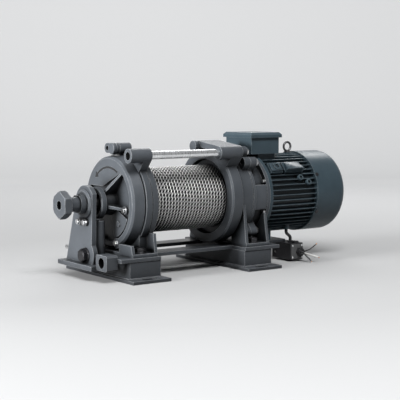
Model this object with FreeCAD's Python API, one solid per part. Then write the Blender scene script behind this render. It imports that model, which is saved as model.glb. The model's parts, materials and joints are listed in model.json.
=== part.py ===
"""Electric winch: motor, through shaft, three-idler reduction gear, rope drum and welded base.

Frame: X runs along the drum axis from the hand-drive head (-X) to the motor (+X), Z is up,
the origin lies on the floor midway between the two foot plates. Millimetres.
"""
import FreeCAD
import Part
import math
import os

V = FreeCAD.Vector

# Clearances
RUN = 0.05            # radial running fit of a shaft in its bearing
SEAT = 0.02           # radial seat of a ring, pin or bolt held in its own body
PASS = 0.5            # room where a moving piece passes a fixed one
GEAR_ROOM = 5.0       # radial room round the idler wheels
END_ROOM = 2.0        # axial and radial room inside the castings

# Base
BEAM_SPACING = 344.0
BEAM_WIDTH = 87.0
BEAM_LENGTH = 264.0
BEAM_HEIGHT = 41.0
BEAM_WALL = 5.0
FOOT_LIP = 10.5
FOOT_OVERHANG = 31.0
FOOT_THICK = 8.0
SLOT_INSET = 16.0
SLOT_LENGTH = 42.0
SLOT_RADIUS = 9.0
TOP_PLATE_THICK = 9.0
TOP_PLATE_LIP = 2.0
TOP_PLATE_REACH = 26.0
TAB_WIDTH = 54.0
RAIL_WIDTH = 50.0
FRONT_RAIL_Y = -54.0
REAR_RAIL_Y = 80.0
DECK_GAP = 1.0

# Bolts: width across flats, height of head, radius of shank, radius and thickness of washer
FOOT_BOLT = (24.0, 10.0, 8.0, 15.0, 3.0)
PIVOT_BOLT = (30.0, 12.0, 10.0, 19.0, 3.5)
COVER_BOLT = (13.0, 5.5, 4.0, 8.0, 1.5)
FLANGE_BOLT = (10.0, 5.0, 4.0, 5.5, 1.0)
JOINT_BOLT = (17.0, 8.0, 5.0, 10.0, 2.0)

# Outboard bracket
BRACKET_GAP = 14.0
BRACKET_THICK = 12.0
BRACKET_HEAD_WALL = 15.0
BRACKET_HEAD_TURN = 20.0
BRACKET_NEAR_Y = -37.0
BRACKET_TOE_Y = -29.0
BRACKET_FAR_Y = 94.0
BRACKET_BASE_REACH = 22.0
BRACKET_BASE_NEAR_Y = -67.0
BRACKET_BASE_FAR_Y = 99.0
BRACKET_BASE_THICK = 11.0
BRACKET_BASE_DROP = 12.0
PIVOT_Y = -3.0
PIVOT_RISE = 19.0
PIVOT_LOBE = 38.0
PIVOT_WALL = 8.0
PIVOT_DEPTH = 34.0
POST_RADIUS = 13.0
POST_GAP = 2.5
POST_Y = -17.0
ANCHOR_LENGTH = 30.0
ANCHOR_Y = -93.0
ANCHOR_DROP = 1.0
ANCHOR_WIDTH = 50.0
ANCHOR_HEIGHT = 38.0
ANCHOR_BORE_RADIUS = 13.0
ANCHOR_CHAMFER = 4.0
KEEPER_LENGTH = 50.0
KEEPER_HEIGHT = 17.0
KEEPER_THICK = 5.0
KEEPER_Y = 5.0
KEEPER_GAP = 1.0
KEEPER_BOLT_SPACING = 30.0

# Drive shaft and hand drive
SHAFT_RADIUS = 12.5
SHAFT_END_ROOM = 28.0
SLEEVE_WALL = 5.5
HEX_REACH = 70.0
HEX_THICK = 20.0
HEX_FLATS = 60.0
HEX_CHAMFER = 3.0
HEX_RECESS_DEPTH = 10.0
HEX_RECESS_RADIUS = 11.0
COLLAR_WALL = 6.0
COLLAR_LENGTH = 14.0
COLLAR_FLAT = 3.0
COLLAR_GAP = 1.0
OUTBOARD_BEARING_WALL = 12.0
BEARING_CAP_LIP = 5.0
BEARING_CAP_THICK = 7.0
BEARING_CAP_CHAMFER = 4.0

# Gear train
MODULE = 2.5
PRESSURE_ANGLE = math.radians(25.0)
SUN_TEETH = 15
IDLER_TEETH = 30
PINION_TEETH = 12
IDLER_COUNT = 3
ADDENDUM = 0.9
DEDENDUM = 1.2
BACKLASH = 0.12
SUN_FACE = 12.0
PINION_FACE = 15.0
RING_RIM = 9.0
RING_WEB = 8.0
PIN_RADIUS = 7.0
PIN_BOSS_WALL = 6.0
PIN_BOSS_LENGTH = 3.0

# Gear end castings
COVER_REACH = 22.0
COVER_WALL = 11.5
COVER_DEPTH = 31.0
COVER_SHELL = 12.0
COVER_DRAFT = 4.0
COVER_CHAMFER = 5.0
COVER_FIELD_RIM = 17.0
COVER_FIELD_DEPTH = 8.0
HUB_LENGTH = 42.0
HUB_RING = 14.0
HUB_WALL = 7.0
HUB_BORE = 32.0
HUB_NECK_WALL = 6.0
HUB_FLARE = 4.0
HUB_CHAMFER = 2.0
RIB_WIDTH = 7.0
FRONT_RIB_ANGLE = 51.0
LOW_RIB_ANGLE = -12.0
COVER_BOLT_INSET = 12.5
COVER_BOLT_ANGLES = (-70.0, 195.0, 250.0)
FIELD_BOLT_PLACE = 71.0
FIELD_BOLT_SINK = 3.0
COVER_LOBE_RADIUS = 13.0
COVER_BEARING_RADIUS = 22.0
COVER_BEARING_WIDTH = 26.0
PANEL_EDGE = 38.0
PANEL_BEND_Y = 29.0
PANEL_FRONT_Y = 75.0
PANEL_FRONT_Z = 84.0
LOW_PANEL_ANGLES = (-76.0, -24.0)
LOW_PANEL_INSET = 6.0
LOW_PANEL_DROP = 2.0
ARROW_INSET = 10.0
ARROW_WIDTH = 4.0
ARROW_START = 61.0
ARROW_END = 128.0
ARROW_HEAD = 14.0
ARROW_TIP_TURN = 9.0
ARROW_DEPTH = 2.0
PLUG_ANGLE = -50.0
PLUG_PLACE = 66.0
PLUG_RADIUS = 7.0
HOUSING_RISE = 4.0
HOUSING_BORE_STEP = 7.0
HOUSING_GROOVE = 3.0
HOUSING_GAP = 1.0

# Drum and rope
BARREL_RADIUS = 68.0
BARREL_WALL = 9.0
ROPE_DEPTH = 15.0
ROPE_TURNS = 25
ROPE_VALLEY = 3.6
DRUM_FLANGE_LIP = 32.0
DRUM_FLANGE_THICK = 20.0
DRUM_FLANGE_CHAMFER = 3.0
INNER_FLANGE_LIP = 13.0
INNER_FLANGE_THICK = 9.0
INNER_FLANGE_RECESS = 13.0
DRUM_BEARING_RADIUS = 31.0
DRUM_BEARING_WIDTH = 16.0

# Tie rods and lifting lug
TIE_Y = -100.0
TIE_RISE = 118.0
REAR_TIE_Y = 138.0
REAR_TIE_RISE = -22.0
TIE_RADIUS = 10.0
TIE_BOSS_WALL = 7.5
TIE_RECESS = 16.0
TIE_BOSS_REACH = 6.0
TIE_BOSS_STEP = 32.0
TOP_BOSS_STEP = 46.0
LUG_Y = -10.0
LUG_GAP = 3.0
LUG_BOLT_HEAD_RADIUS = 14.0
LUG_BOLT_HEAD = 11.0
LUG_BOLT_CHAMFER = 1.5
LUG_BOLT_RADIUS = 9.0
LUG_BOSS_REACH = 11.0
LUG_PLATE_THICK = 8.0
LUG_REACH = 36.0
LUG_EYE_RADIUS = 12.5
LUG_HOLE_RADIUS = 6.0

# Motor end castings
END_HOUSING_DEPTH = 74.0
END_HOUSING_RIM = 36.0
END_HOUSING_RIM_WALL = 25.0
END_HOUSING_CHAMFER = 4.0
END_HOUSING_STEP = 11.0
END_HOUSING_WALL = 10.0
ADAPTER_LENGTH = 60.0
ADAPTER_STEP = 1.0
ADAPTER_WALL = 9.0
ADAPTER_CONE = 12.0
ADAPTER_CHAMFER = 3.0
ADAPTER_PANEL_RISE = 12.0
ADAPTER_PANEL_ANGLES = (-18.0, 17.0)
FLANGE_LIP = 2.0
FLANGE_THICK = 10.0
FLANGE_BOLT_COUNT = 8
JOINT_LUG_ANGLES = (46.0, 68.0, 112.0, 134.0, -45.0, 225.0)
JOINT_LUG_RISE = 13.0
JOINT_LUG_RADIUS = 14.0
JOINT_LUG_LENGTH = 20.0
SHAFT_ROOM = 6.0

# Motor
MOTOR_LENGTH = 174.0
MOTOR_FRAME_RADIUS = 96.0
MOTOR_FRAME_WALL = 6.0
FIN_HEIGHT = 10.0
FIN_THICK = 3.0
FIN_COUNT = 48
FIN_TAPER = 0.6
PAD_RISE = 7.0
PAD_WIDTH = 30.0
PAD_ANGLE = 40.0
PAD_SPANS = ((3.0, 42.0), (50.0, 112.0))
SIDE_BOSS_RADIUS = 6.0
SIDE_BOSS_RISE = 3.0
SIDE_BOSSES = ((99.0, 24.0), (124.0, 17.0))    # distance from the frame's start, angle
STRUT_OFFSET = 22.0
STRUT_LENGTH = 18.0
STRUT_Y = 34.0
STRUT_WIDTH = 14.0
ENDSHIELD_THICK = 10.0
BEARING_HUB_WALL = 8.0
BEARING_HUB_FLARE = 4.0
ROTOR_RADIUS = 56.4
AIR_GAP = 0.6
CORE_LENGTH = 110.0
MOTOR_BEARING_RADIUS = 31.0
MOTOR_BEARING_WIDTH = 15.0
COWL_RISE = 4.0
COWL_WALL = 2.0
COWL_LENGTH = 97.0
COWL_CORNER = 24.0
BRAKE_RADIUS = 78.0
BRAKE_MAGNET_THICK = 24.0
BRAKE_DISC_THICK = 8.0
BRAKE_DISC_STEP = 4.0
BRAKE_GAP = 0.4
FAN_RADIUS = 88.0
FAN_BLADES = 9
FAN_WIDTH = 26.0
FAN_SHEET = 3.0
FAN_HUB_WALL = 9.0
FAN_GAP = 4.0
INLET_OUTER = 84.0
INLET_INNER = 24.0
INLET_SLOT = 5.0
INLET_COUNT = 24
COWL_SCREW_RADIUS = 2.5
COWL_SCREW_LENGTH = 14.0
COWL_SCREW_HEAD = 2.2
COWL_SCREW_ANGLES = (27.0, -27.0, 153.0, -153.0)
TERMINAL_OFFSET = 24.0
TERMINAL_LENGTH = 93.0
TERMINAL_DEPTH = 110.0
TERMINAL_HEIGHT = 43.0
TERMINAL_WALL = 4.0
SADDLE_WIDTH = 84.0
SADDLE_INSET = 4.0
LID_THICK = 14.0
LID_OVERHANG = 6.0
EYE_OFFSET = 28.0
EYE_BOSS_RADIUS = 11.0
EYE_BOSS_RISE = 1.0
EYE_COLLAR_RADIUS = 9.0
EYE_COLLAR_HEIGHT = 3.0
EYE_RING_RADIUS = 12.0
EYE_SECTION_RADIUS = 3.0
EYE_RING_SINK = 2.0
EYE_SHANK_RADIUS = 5.0
EYE_SHANK = 12.0

# Motor support and junction box
SUPPORT_LENGTH = 90.0
SUPPORT_WIDTH = 100.0
SUPPORT_THICK = 8.0
JUNCTION_LAP = 17.5
JUNCTION_Y = -94.0
JUNCTION_LENGTH = 44.0
JUNCTION_WIDTH = 80.0
JUNCTION_HEIGHT = 44.0
JUNCTION_CORNER = 4.0
BOX_CAP_OFFSET = 26.0
BOX_CAP_INSET = 12.0
BOX_CAP_RADIUS = 9.0
BOX_CAP_HEIGHT = 5.0
LEAD_RADIUS = 4.2
LEAD_X = 333.0
LEAD_Y = -52.0
LEAD_BOSS_STEP = 2.0
LEAD_BOSS_WALL = 4.0
LEAD_GLAND_OFFSET = 27.0
LEAD_GLAND_INSET = 34.0
LEAD_GLAND_WALL = 3.0
LEAD_GLAND_HEIGHT = 4.0
GLAND_OFFSET = 30.0
GLAND_DROP = 23.0
GLAND_RADIUS = 9.0
GLAND_LENGTH = 12.0
GLAND_NUT_FLATS = 22.0
GLAND_NUT = 6.0
BLACK_TAIL_RADIUS = 1.5
WHITE_TAIL_RADIUS = 2.5
GREY_TAIL_RADIUS = 2.2
LEAD_STRAIGHT = 0.35      # share of the drop that leaves each end straight
BEND_SHARE = 0.45         # share of a straight run that a bend may take up

# Routes of the three supply leads, from the middle of the gland's mouth
BLACK_TAIL = (V(3, 0, 3), V(3, -9, 3), V(11, -15, 7), V(22, -19, 14), V(30, -22, 21))
WHITE_TAIL = (V(0, 0, -2), V(0, -9, -2), V(8, -17, -5), V(19, -27, -9), V(27, -35, -12.5))
GREY_TAIL = (V(-4, 0, 2), V(-4, -9, 2), V(-4, -18, -5), V(0, -26, -13), V(4, -32, -21))

# Feet of the castings
FOOT_PAD_THICK = 8.0
FOOT_PAD_INSET = 8.0
FOOT_BOLT_INSET = 18.0
GUSSET_THICK = 8.0
GEAR_FOOT_OUTER = 32.0
GEAR_FOOT_INNER = 39.0
GEAR_GUSSET_Y = 118.0
GEAR_GUSSET_DROP = 70.0
GEAR_LOW_GUSSET_DROP = 96.0
PEDESTAL_INSET = 31.0
MOTOR_FOOT_INNER = 34.0
MOTOR_FOOT_OUTER = 42.0
MOTOR_GUSSET_Y = 112.0
MOTOR_GUSSET_DROP = 17.0
OUTER_GUSSET_DROP = 42.0

# Derived: base
BEAM_X = BEAM_SPACING / 2
BEAM_OUT = BEAM_X + BEAM_WIDTH / 2
BEAM_TOP = FOOT_THICK + BEAM_HEIGHT
DECK_Z = BEAM_TOP + TOP_PLATE_THICK
DECK_OUT = BEAM_OUT + TOP_PLATE_REACH
FOOT_LENGTH = BEAM_LENGTH + 2 * FOOT_OVERHANG
FOOT_WIDTH = BEAM_WIDTH + 2 * FOOT_LIP
SLOT_Y = FOOT_LENGTH / 2 - SLOT_INSET
TOP_PLATE_END = BEAM_LENGTH / 2 + TOP_PLATE_LIP
FOOT_PAD_END = TOP_PLATE_END - FOOT_PAD_INSET
FOOT_BOLT_Y = FOOT_PAD_END - FOOT_BOLT_INSET

# Derived: radii about the drum axis
CENTRE_DISTANCE = MODULE * (SUN_TEETH + IDLER_TEETH) / 2
RING_TEETH = SUN_TEETH + IDLER_TEETH + PINION_TEETH
IDLER_REACH = CENTRE_DISTANCE + MODULE * (IDLER_TEETH / 2 + ADDENDUM)
CAVITY_RADIUS = IDLER_REACH + GEAR_ROOM
COVER_RADIUS = CAVITY_RADIUS + COVER_SHELL
COVER_RIM_RADIUS = COVER_RADIUS + COVER_DRAFT
COVER_FIELD_RADIUS = COVER_RADIUS - COVER_FIELD_RIM
COVER_BOLT_CIRCLE = COVER_RIM_RADIUS - COVER_BOLT_INSET
HOUSING_RADIUS = COVER_RIM_RADIUS + HOUSING_RISE
HOUSING_BORE = CAVITY_RADIUS + HOUSING_BORE_STEP
HUB_RADIUS = HUB_BORE + HUB_WALL
HUB_NECK_RADIUS = COVER_BEARING_RADIUS + HUB_NECK_WALL
ROPE_RADIUS = BARREL_RADIUS + ROPE_DEPTH
DRUM_FLANGE_RADIUS = ROPE_RADIUS + DRUM_FLANGE_LIP
INNER_FLANGE_RADIUS = ROPE_RADIUS + INNER_FLANGE_LIP
MOUTH_RADIUS = INNER_FLANGE_RADIUS + END_ROOM
END_HOUSING_RADIUS = MOUTH_RADIUS + END_HOUSING_RIM_WALL
NECK_RADIUS = END_HOUSING_RADIUS - END_HOUSING_STEP
JOINT_LUG_CIRCLE = NECK_RADIUS + JOINT_LUG_RISE
FIN_RADIUS = MOTOR_FRAME_RADIUS + FIN_HEIGHT
ADAPTER_RADIUS = MOTOR_FRAME_RADIUS - ADAPTER_STEP
FLANGE_RADIUS = FIN_RADIUS + FLANGE_LIP
FLANGE_BOLT_CIRCLE = (ADAPTER_RADIUS + FLANGE_RADIUS) / 2
COWL_RADIUS = FIN_RADIUS + COWL_RISE
STATOR_BORE = ROTOR_RADIUS + AIR_GAP
LEAD_BOSS_DROP = MOTOR_FRAME_RADIUS + LEAD_BOSS_STEP
SLEEVE_RADIUS = SHAFT_RADIUS + SLEEVE_WALL
OUTBOARD_BEARING_RADIUS = SLEEVE_RADIUS + OUTBOARD_BEARING_WALL
BEARING_CAP_RADIUS = OUTBOARD_BEARING_RADIUS + BEARING_CAP_LIP
TIE_BOSS_RADIUS = TIE_RADIUS + TIE_BOSS_WALL

# Derived: levels; the largest casting just clears the deck
AXIS_HEIGHT = DECK_Z + DECK_GAP + max(END_HOUSING_RADIUS, HOUSING_RADIUS, DRUM_FLANGE_RADIUS)
BRACKET_BASE_Z = BEAM_TOP - BRACKET_BASE_DROP - BRACKET_BASE_THICK
BRACKET_FLOOR = BRACKET_BASE_Z + BRACKET_BASE_THICK
PIVOT_Z = BRACKET_FLOOR + PIVOT_RISE
KEEPER_Z = AXIS_HEIGHT - BEARING_CAP_RADIUS - KEEPER_GAP - KEEPER_HEIGHT / 2
ANCHOR_Z = BEAM_TOP - ANCHOR_DROP
TIE_PLACES = ((TIE_Y, AXIS_HEIGHT + TIE_RISE), (REAR_TIE_Y, AXIS_HEIGHT + REAR_TIE_RISE))
LUG_Z = AXIS_HEIGHT + COVER_RIM_RADIUS + LUG_GAP + LUG_EYE_RADIUS
TERMINAL_BASE_Z = AXIS_HEIGHT + FLANGE_RADIUS
EYE_SEAT_Z = AXIS_HEIGHT + FIN_RADIUS + EYE_BOSS_RISE

# Derived: places along the axis
COVER_X = -BEAM_X - COVER_REACH
COVER_JOINT_X = COVER_X + COVER_DEPTH
COVER_FLOOR_X = COVER_X + COVER_FIELD_DEPTH
PIN_START_X = COVER_FLOOR_X + (COVER_WALL - COVER_FIELD_DEPTH) / 2
SUN_X = COVER_X + COVER_WALL + PIN_BOSS_LENGTH + PASS
PINION_X = SUN_X + SUN_FACE + END_ROOM
PINION_END_X = PINION_X + PINION_FACE
RING_WEB_X = PINION_END_X + END_ROOM
DRUM_START = RING_WEB_X + RING_WEB
HOUSING_END_X = DRUM_START - HOUSING_GAP
ROPE_START = DRUM_START + DRUM_FLANGE_THICK
HUB_X = COVER_X - HUB_LENGTH
HUB_RING_X = HUB_X + HUB_RING
COVER_BEARING_X = COVER_X + COVER_WALL - COVER_BEARING_WIDTH
BRACKET_BACK = HUB_X - BRACKET_GAP
BRACKET_X = BRACKET_BACK - BRACKET_THICK
BRACKET_BASE_X = BRACKET_X - BRACKET_BASE_REACH
POST_X = -BEAM_OUT - POST_GAP - POST_RADIUS
HEX_X = BRACKET_X - HEX_REACH
SHAFT_START = HEX_X + HEX_THICK
TIE_START = COVER_X - TIE_BOSS_REACH
LUG_SEAT_X = COVER_JOINT_X - LUG_BOSS_REACH
END_HOUSING_END_X = BEAM_X
END_HOUSING_X = END_HOUSING_END_X - END_HOUSING_DEPTH
ROPE_END = END_HOUSING_X + INNER_FLANGE_RECESS
MOTOR_X = END_HOUSING_END_X + ADAPTER_LENGTH
MOTOR_END_X = MOTOR_X + MOTOR_LENGTH
COWL_END_X = MOTOR_END_X + COWL_LENGTH
BRAKE_DISC_X = MOTOR_END_X + BRAKE_MAGNET_THICK + BRAKE_GAP
FAN_X = BRAKE_DISC_X + BRAKE_DISC_THICK + FAN_GAP
TERMINAL_X = MOTOR_X + TERMINAL_OFFSET
EYE_X = MOTOR_END_X - EYE_OFFSET
GEAR_FOOT_X0 = -BEAM_X - GEAR_FOOT_OUTER
GEAR_FOOT_X1 = -BEAM_X + GEAR_FOOT_INNER
MOTOR_FOOT_X0 = BEAM_X - MOTOR_FOOT_INNER
MOTOR_FOOT_X1 = BEAM_X + MOTOR_FOOT_OUTER
JUNCTION_X = DECK_OUT + SUPPORT_LENGTH - JUNCTION_LAP


def box(x0, x1, y0, y1, z0, z1):
    """Block between two opposite corners."""
    return Part.makeBox(x1 - x0, y1 - y0, z1 - z0, V(x0, y0, z0))


def rod(radius, x0, x1, y=0.0, z=AXIS_HEIGHT):
    """Cylinder along X."""
    return Part.makeCylinder(radius, x1 - x0, V(x0, y, z), V(1, 0, 0))


def ring(outer, inner, x0, x1, y=0.0, z=AXIS_HEIGHT):
    """Tube along X."""
    return rod(outer, x0, x1, y, z).cut(rod(inner, x0, x1, y, z))


def outline(points):
    """Closed wire through 3D points; a pair (middle, end) is an arc from the point before."""
    edges = []
    here = points[0]
    for step in points[1:] + [points[0]]:
        if isinstance(step, tuple):
            edges.append(Part.Arc(here, step[0], step[1]).toShape())
            here = step[1]
        elif (step - here).Length > 1e-6:
            edges.append(Part.LineSegment(here, step).toShape())
            here = step
    return Part.Wire(edges)


def prism(points, direction):
    """Solid pushed from an outline along a direction."""
    return Part.Face(outline(points)).extrude(direction)


def turned(profile, y=0.0, z=AXIS_HEIGHT):
    """Solid of revolution about an axis along X; the profile holds (x, radius) steps and arcs."""
    steps = []
    for step in profile:
        if isinstance(step[0], tuple):
            steps.append(tuple(V(x, 0, r) for x, r in step))
        else:
            steps.append(V(step[0], 0, step[1]))
    face = Part.Face(outline(steps))
    solid = face.revolve(V(0, 0, 0), V(1, 0, 0), 360)
    return solid.translate(V(0, y, z))


def polar(radius, degrees, x=0.0):
    """Point at an angle about the drum axis, 0 toward -Y (the front), 90 up."""
    turn = math.radians(degrees)
    return V(x, -radius * math.cos(turn), AXIS_HEIGHT + radius * math.sin(turn))


def about_axis(shape, degrees, y=0.0, z=AXIS_HEIGHT):
    """Copy turned about an axis along X."""
    copy = shape.copy()
    copy.rotate(V(0, y, z), V(1, 0, 0), degrees)
    return copy


def united(first, *others):
    """One solid from overlapping ones."""
    return first.fuse(list(others))


def group(solids):
    """Separate solids kept in one node."""
    return Part.makeCompound(solids)


def hexagon(flats, length, start, axis):
    """Six-sided bar along an axis."""
    corner = flats / math.sqrt(3)
    points = [V(corner * math.cos(math.radians(a)), corner * math.sin(math.radians(a)), 0)
              for a in range(0, 360, 60)]
    bar = prism(points, V(0, 0, length))
    bar.Placement = FreeCAD.Placement(start, FreeCAD.Rotation(V(0, 0, 1), axis))
    return bar


def hex_bolt(kind, seat, axis, length):
    """Bolt whose washer lies on a seat, with the shank going the other way along the axis."""
    flats, head, radius, washer_radius, washer_thick = kind
    shank = Part.makeCylinder(radius, length, seat, axis * -1)
    washer = Part.makeCylinder(washer_radius, washer_thick, seat, axis)
    return united(shank, washer, hexagon(flats, head, seat + axis * washer_thick, axis))


def bolt_radius(kind):
    """Radius of the hole that a bolt of this kind sits in."""
    return kind[2] + SEAT


def slot(length, radius, thick, x, y, z):
    """Long hole along X through a plate."""
    half = length / 2 - radius
    body = box(x - half, x + half, y - radius, y + radius, z, z + thick)
    ends = [Part.makeCylinder(radius, thick, V(x + s * half, y, z)) for s in (-1, 1)]
    return united(body, *ends)


# Base frame

def foot_plate(x):
    plate = box(x - FOOT_WIDTH / 2, x + FOOT_WIDTH / 2, -FOOT_LENGTH / 2, FOOT_LENGTH / 2, 0, FOOT_THICK)
    slots = [slot(SLOT_LENGTH, SLOT_RADIUS, FOOT_THICK, x, s * SLOT_Y, 0) for s in (-1, 1)]
    return plate.cut(slots)


def cross_beam(x):
    """Closed box section, open inside, welded on its foot plate."""
    half = BEAM_WIDTH / 2
    end = BEAM_LENGTH / 2
    wall = BEAM_WALL
    outer = box(x - half, x + half, -end, end, FOOT_THICK, BEAM_TOP)
    hollow = box(x - half + wall, x + half - wall, -end + wall, end - wall,
                 FOOT_THICK + wall, BEAM_TOP - wall)
    return outer.cut([hollow] + foot_bolt_holes(x, BEAM_TOP - wall, BEAM_TOP))


def top_plate(side):
    """Deck plate over a beam, reaching past it at the motor end and with a front tab at the gear end."""
    x = side * BEAM_X
    end = TOP_PLATE_END
    plate = box(x - BEAM_WIDTH / 2, x + BEAM_WIDTH / 2, -end, end, BEAM_TOP, DECK_Z)
    if side > 0:
        tab = box(BEAM_OUT, DECK_OUT, -end, end, BEAM_TOP, DECK_Z)
    else:
        tab = box(-DECK_OUT, -BEAM_OUT, -end, -end + TAB_WIDTH, BEAM_TOP, DECK_Z)
    return united(plate, tab).cut(foot_bolt_holes(x, BEAM_TOP, DECK_Z))


def foot_bolt_holes(x, z0, z1):
    return [Part.makeCylinder(bolt_radius(FOOT_BOLT), z1 - z0, V(x, s * FOOT_BOLT_Y, z0)) for s in (-1, 1)]


def foot_bolts():
    """Four large hexagon bolts with washers that hold the housings on their deck plates."""
    length = FOOT_PAD_THICK + TOP_PLATE_THICK + BEAM_WALL
    seat = DECK_Z + FOOT_PAD_THICK
    places = [V(x, y, seat) for x in (-BEAM_X, BEAM_X) for y in (-FOOT_BOLT_Y, FOOT_BOLT_Y)]
    return group([hex_bolt(FOOT_BOLT, place, V(0, 0, 1), length) for place in places])


def rail(y):
    reach = BEAM_X - BEAM_WIDTH / 2
    return box(-reach, reach, y - RAIL_WIDTH / 2, y + RAIL_WIDTH / 2, BEAM_TOP, DECK_Z)


# Outboard bearing bracket

def bracket_base_plate():
    return box(BRACKET_BASE_X, -BEAM_OUT, BRACKET_BASE_NEAR_Y, BRACKET_BASE_FAR_Y,
               BRACKET_BASE_Z, BRACKET_FLOOR)


def anchor_block():
    """Square block with a round bore along X, welded to the deck plate's edge."""
    start = -DECK_OUT - ANCHOR_LENGTH
    y, z = ANCHOR_WIDTH / 2, ANCHOR_HEIGHT / 2
    c = ANCHOR_CHAMFER
    corners = [(c - y, -z), (y - c, -z), (y, c - z), (y, z - c),
               (y - c, z), (c - y, z), (-y, z - c), (-y, c - z)]
    block = prism([V(start, ANCHOR_Y + a, ANCHOR_Z + b) for a, b in corners], V(ANCHOR_LENGTH, 0, 0))
    return block.cut(rod(ANCHOR_BORE_RADIUS, start, -DECK_OUT, ANCHOR_Y, ANCHOR_Z))


def bearing_bracket():
    """Tapered cast plate with a round head, a lower lobe with its boss, and a post under the gear hub."""
    x = BRACKET_X
    head = OUTBOARD_BEARING_RADIUS + BRACKET_HEAD_WALL
    far_turn = math.radians(BRACKET_HEAD_TURN)
    far_start = V(x, head * math.cos(far_turn), AXIS_HEIGHT + head * math.sin(far_turn))
    near_top = V(x, BRACKET_NEAR_Y, AXIS_HEIGHT + math.sqrt(head ** 2 - BRACKET_NEAR_Y ** 2))
    plate = prism([V(x, BRACKET_TOE_Y, BRACKET_FLOOR), near_top,
                   (V(x, 0, AXIS_HEIGHT + head), far_start), V(x, BRACKET_FAR_Y, BRACKET_FLOOR)],
                  V(BRACKET_THICK, 0, 0))
    boss = rod(bolt_radius(PIVOT_BOLT) + PIVOT_WALL, x, x + PIVOT_DEPTH, PIVOT_Y, PIVOT_Z)
    below = PIVOT_Z - PIVOT_LOBE
    under_floor = box(x, BRACKET_BACK, PIVOT_Y - PIVOT_LOBE, PIVOT_Y + PIVOT_LOBE, below, BRACKET_FLOOR)
    lobe = rod(PIVOT_LOBE, x, BRACKET_BACK, PIVOT_Y, PIVOT_Z).cut(under_floor)
    post_top = AXIS_HEIGHT - HUB_RADIUS - END_ROOM
    post = Part.makeCylinder(POST_RADIUS, post_top - BRACKET_FLOOR, V(POST_X, POST_Y, BRACKET_FLOOR))
    web = box(BRACKET_BACK, POST_X, POST_Y - POST_RADIUS / 2, POST_Y + POST_RADIUS / 2,
              BRACKET_FLOOR, post_top)
    casting = united(plate, lobe, boss, post, web)
    seat = rod(OUTBOARD_BEARING_RADIUS + SEAT, x, BRACKET_BACK)
    bolt_hole = rod(bolt_radius(PIVOT_BOLT), x, x + PIVOT_DEPTH, PIVOT_Y, PIVOT_Z)
    return casting.cut([seat, bolt_hole] + keeper_bolt_holes(x, BRACKET_BACK))


def keeper_bolt_points():
    return [V(BRACKET_X - KEEPER_THICK, KEEPER_Y + s * KEEPER_BOLT_SPACING / 2, KEEPER_Z) for s in (-1, 1)]


def keeper_bolt_holes(x0, x1):
    return [rod(bolt_radius(COVER_BOLT), x0, x1, p.y, p.z) for p in keeper_bolt_points()]


def bracket_pivot_bolt():
    seat = V(BRACKET_X, PIVOT_Y, PIVOT_Z)
    return hex_bolt(PIVOT_BOLT, seat, V(-1, 0, 0), PIVOT_DEPTH)


def keeper_plate():
    """Small plate with round ends that stops the bearing cap from turning."""
    end = KEEPER_HEIGHT / 2
    half = KEEPER_LENGTH / 2 - end
    x0, x1 = BRACKET_X - KEEPER_THICK, BRACKET_X
    middle = box(x0, x1, KEEPER_Y - half, KEEPER_Y + half, KEEPER_Z - end, KEEPER_Z + end)
    ends = [rod(end, x0, x1, KEEPER_Y + s * half, KEEPER_Z) for s in (-1, 1)]
    return united(middle, *ends).cut(keeper_bolt_holes(x0, x1))


def outboard_bearing():
    return ring(OUTBOARD_BEARING_RADIUS, SLEEVE_RADIUS + RUN, BRACKET_X, BRACKET_BACK)


def bearing_cap():
    """Turned cap with a chamfered face that keeps the outboard bearing in its bracket."""
    x0, x1 = BRACKET_X - BEARING_CAP_THICK, BRACKET_X
    bore = SLEEVE_RADIUS + PASS
    rim = BEARING_CAP_RADIUS
    c = BEARING_CAP_CHAMFER
    return turned([(x1, bore), (x1, rim), (x0 + c, rim), (x0, rim - c), (x0, bore)])


# Gear train

def involute(angle):
    return math.tan(angle) - angle


def toothed_bar(teeth, tip, root, slack, x0, x1):
    """Bar with involute teeth about the X axis, one tooth pointing along +Y."""
    pitch = MODULE * teeth / 2
    base = pitch * math.cos(PRESSURE_ANGLE)
    start = max(root, base)
    step = 2 * math.pi / teeth

    def at(radius, angle):
        return V(x0, radius * math.cos(angle), radius * math.sin(angle))

    def half(radius):
        flank = involute(PRESSURE_ANGLE) - involute(math.acos(base / radius))
        return step / 4 - slack / pitch / 2 + flank

    middle = (start + tip) / 2
    points = []
    for number in range(teeth):
        c = number * step
        points.append(at(root, c - half(start)) if number == 0 else
                      (at(root, c - step / 2), at(root, c - half(start))))
        points.append(at(start, c - half(start)))
        points.append((at(middle, c - half(middle)), at(tip, c - half(tip))))
        points.append((at(tip, c), at(tip, c + half(tip))))
        points.append((at(middle, c + half(middle)), at(start, c + half(start))))
        points.append(at(root, c + half(start)))
    points.append((at(root, -step / 2), points[0]))
    return prism(points, V(x1 - x0, 0, 0))


def outside_gear(teeth, x0, x1):
    pitch = MODULE * teeth / 2
    return toothed_bar(teeth, pitch + ADDENDUM * MODULE, pitch - DEDENDUM * MODULE, BACKLASH, x0, x1)


def sun_gear():
    """Pinion keyed on the through shaft, a tooth pointing at each idler."""
    teeth = outside_gear(SUN_TEETH, SUN_X, SUN_X + SUN_FACE)
    teeth = about_axis(teeth.translate(V(0, 0, AXIS_HEIGHT)), idler_angle(0))
    return teeth.cut(rod(SHAFT_RADIUS + SEAT, SUN_X, SUN_X + SUN_FACE))


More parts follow.
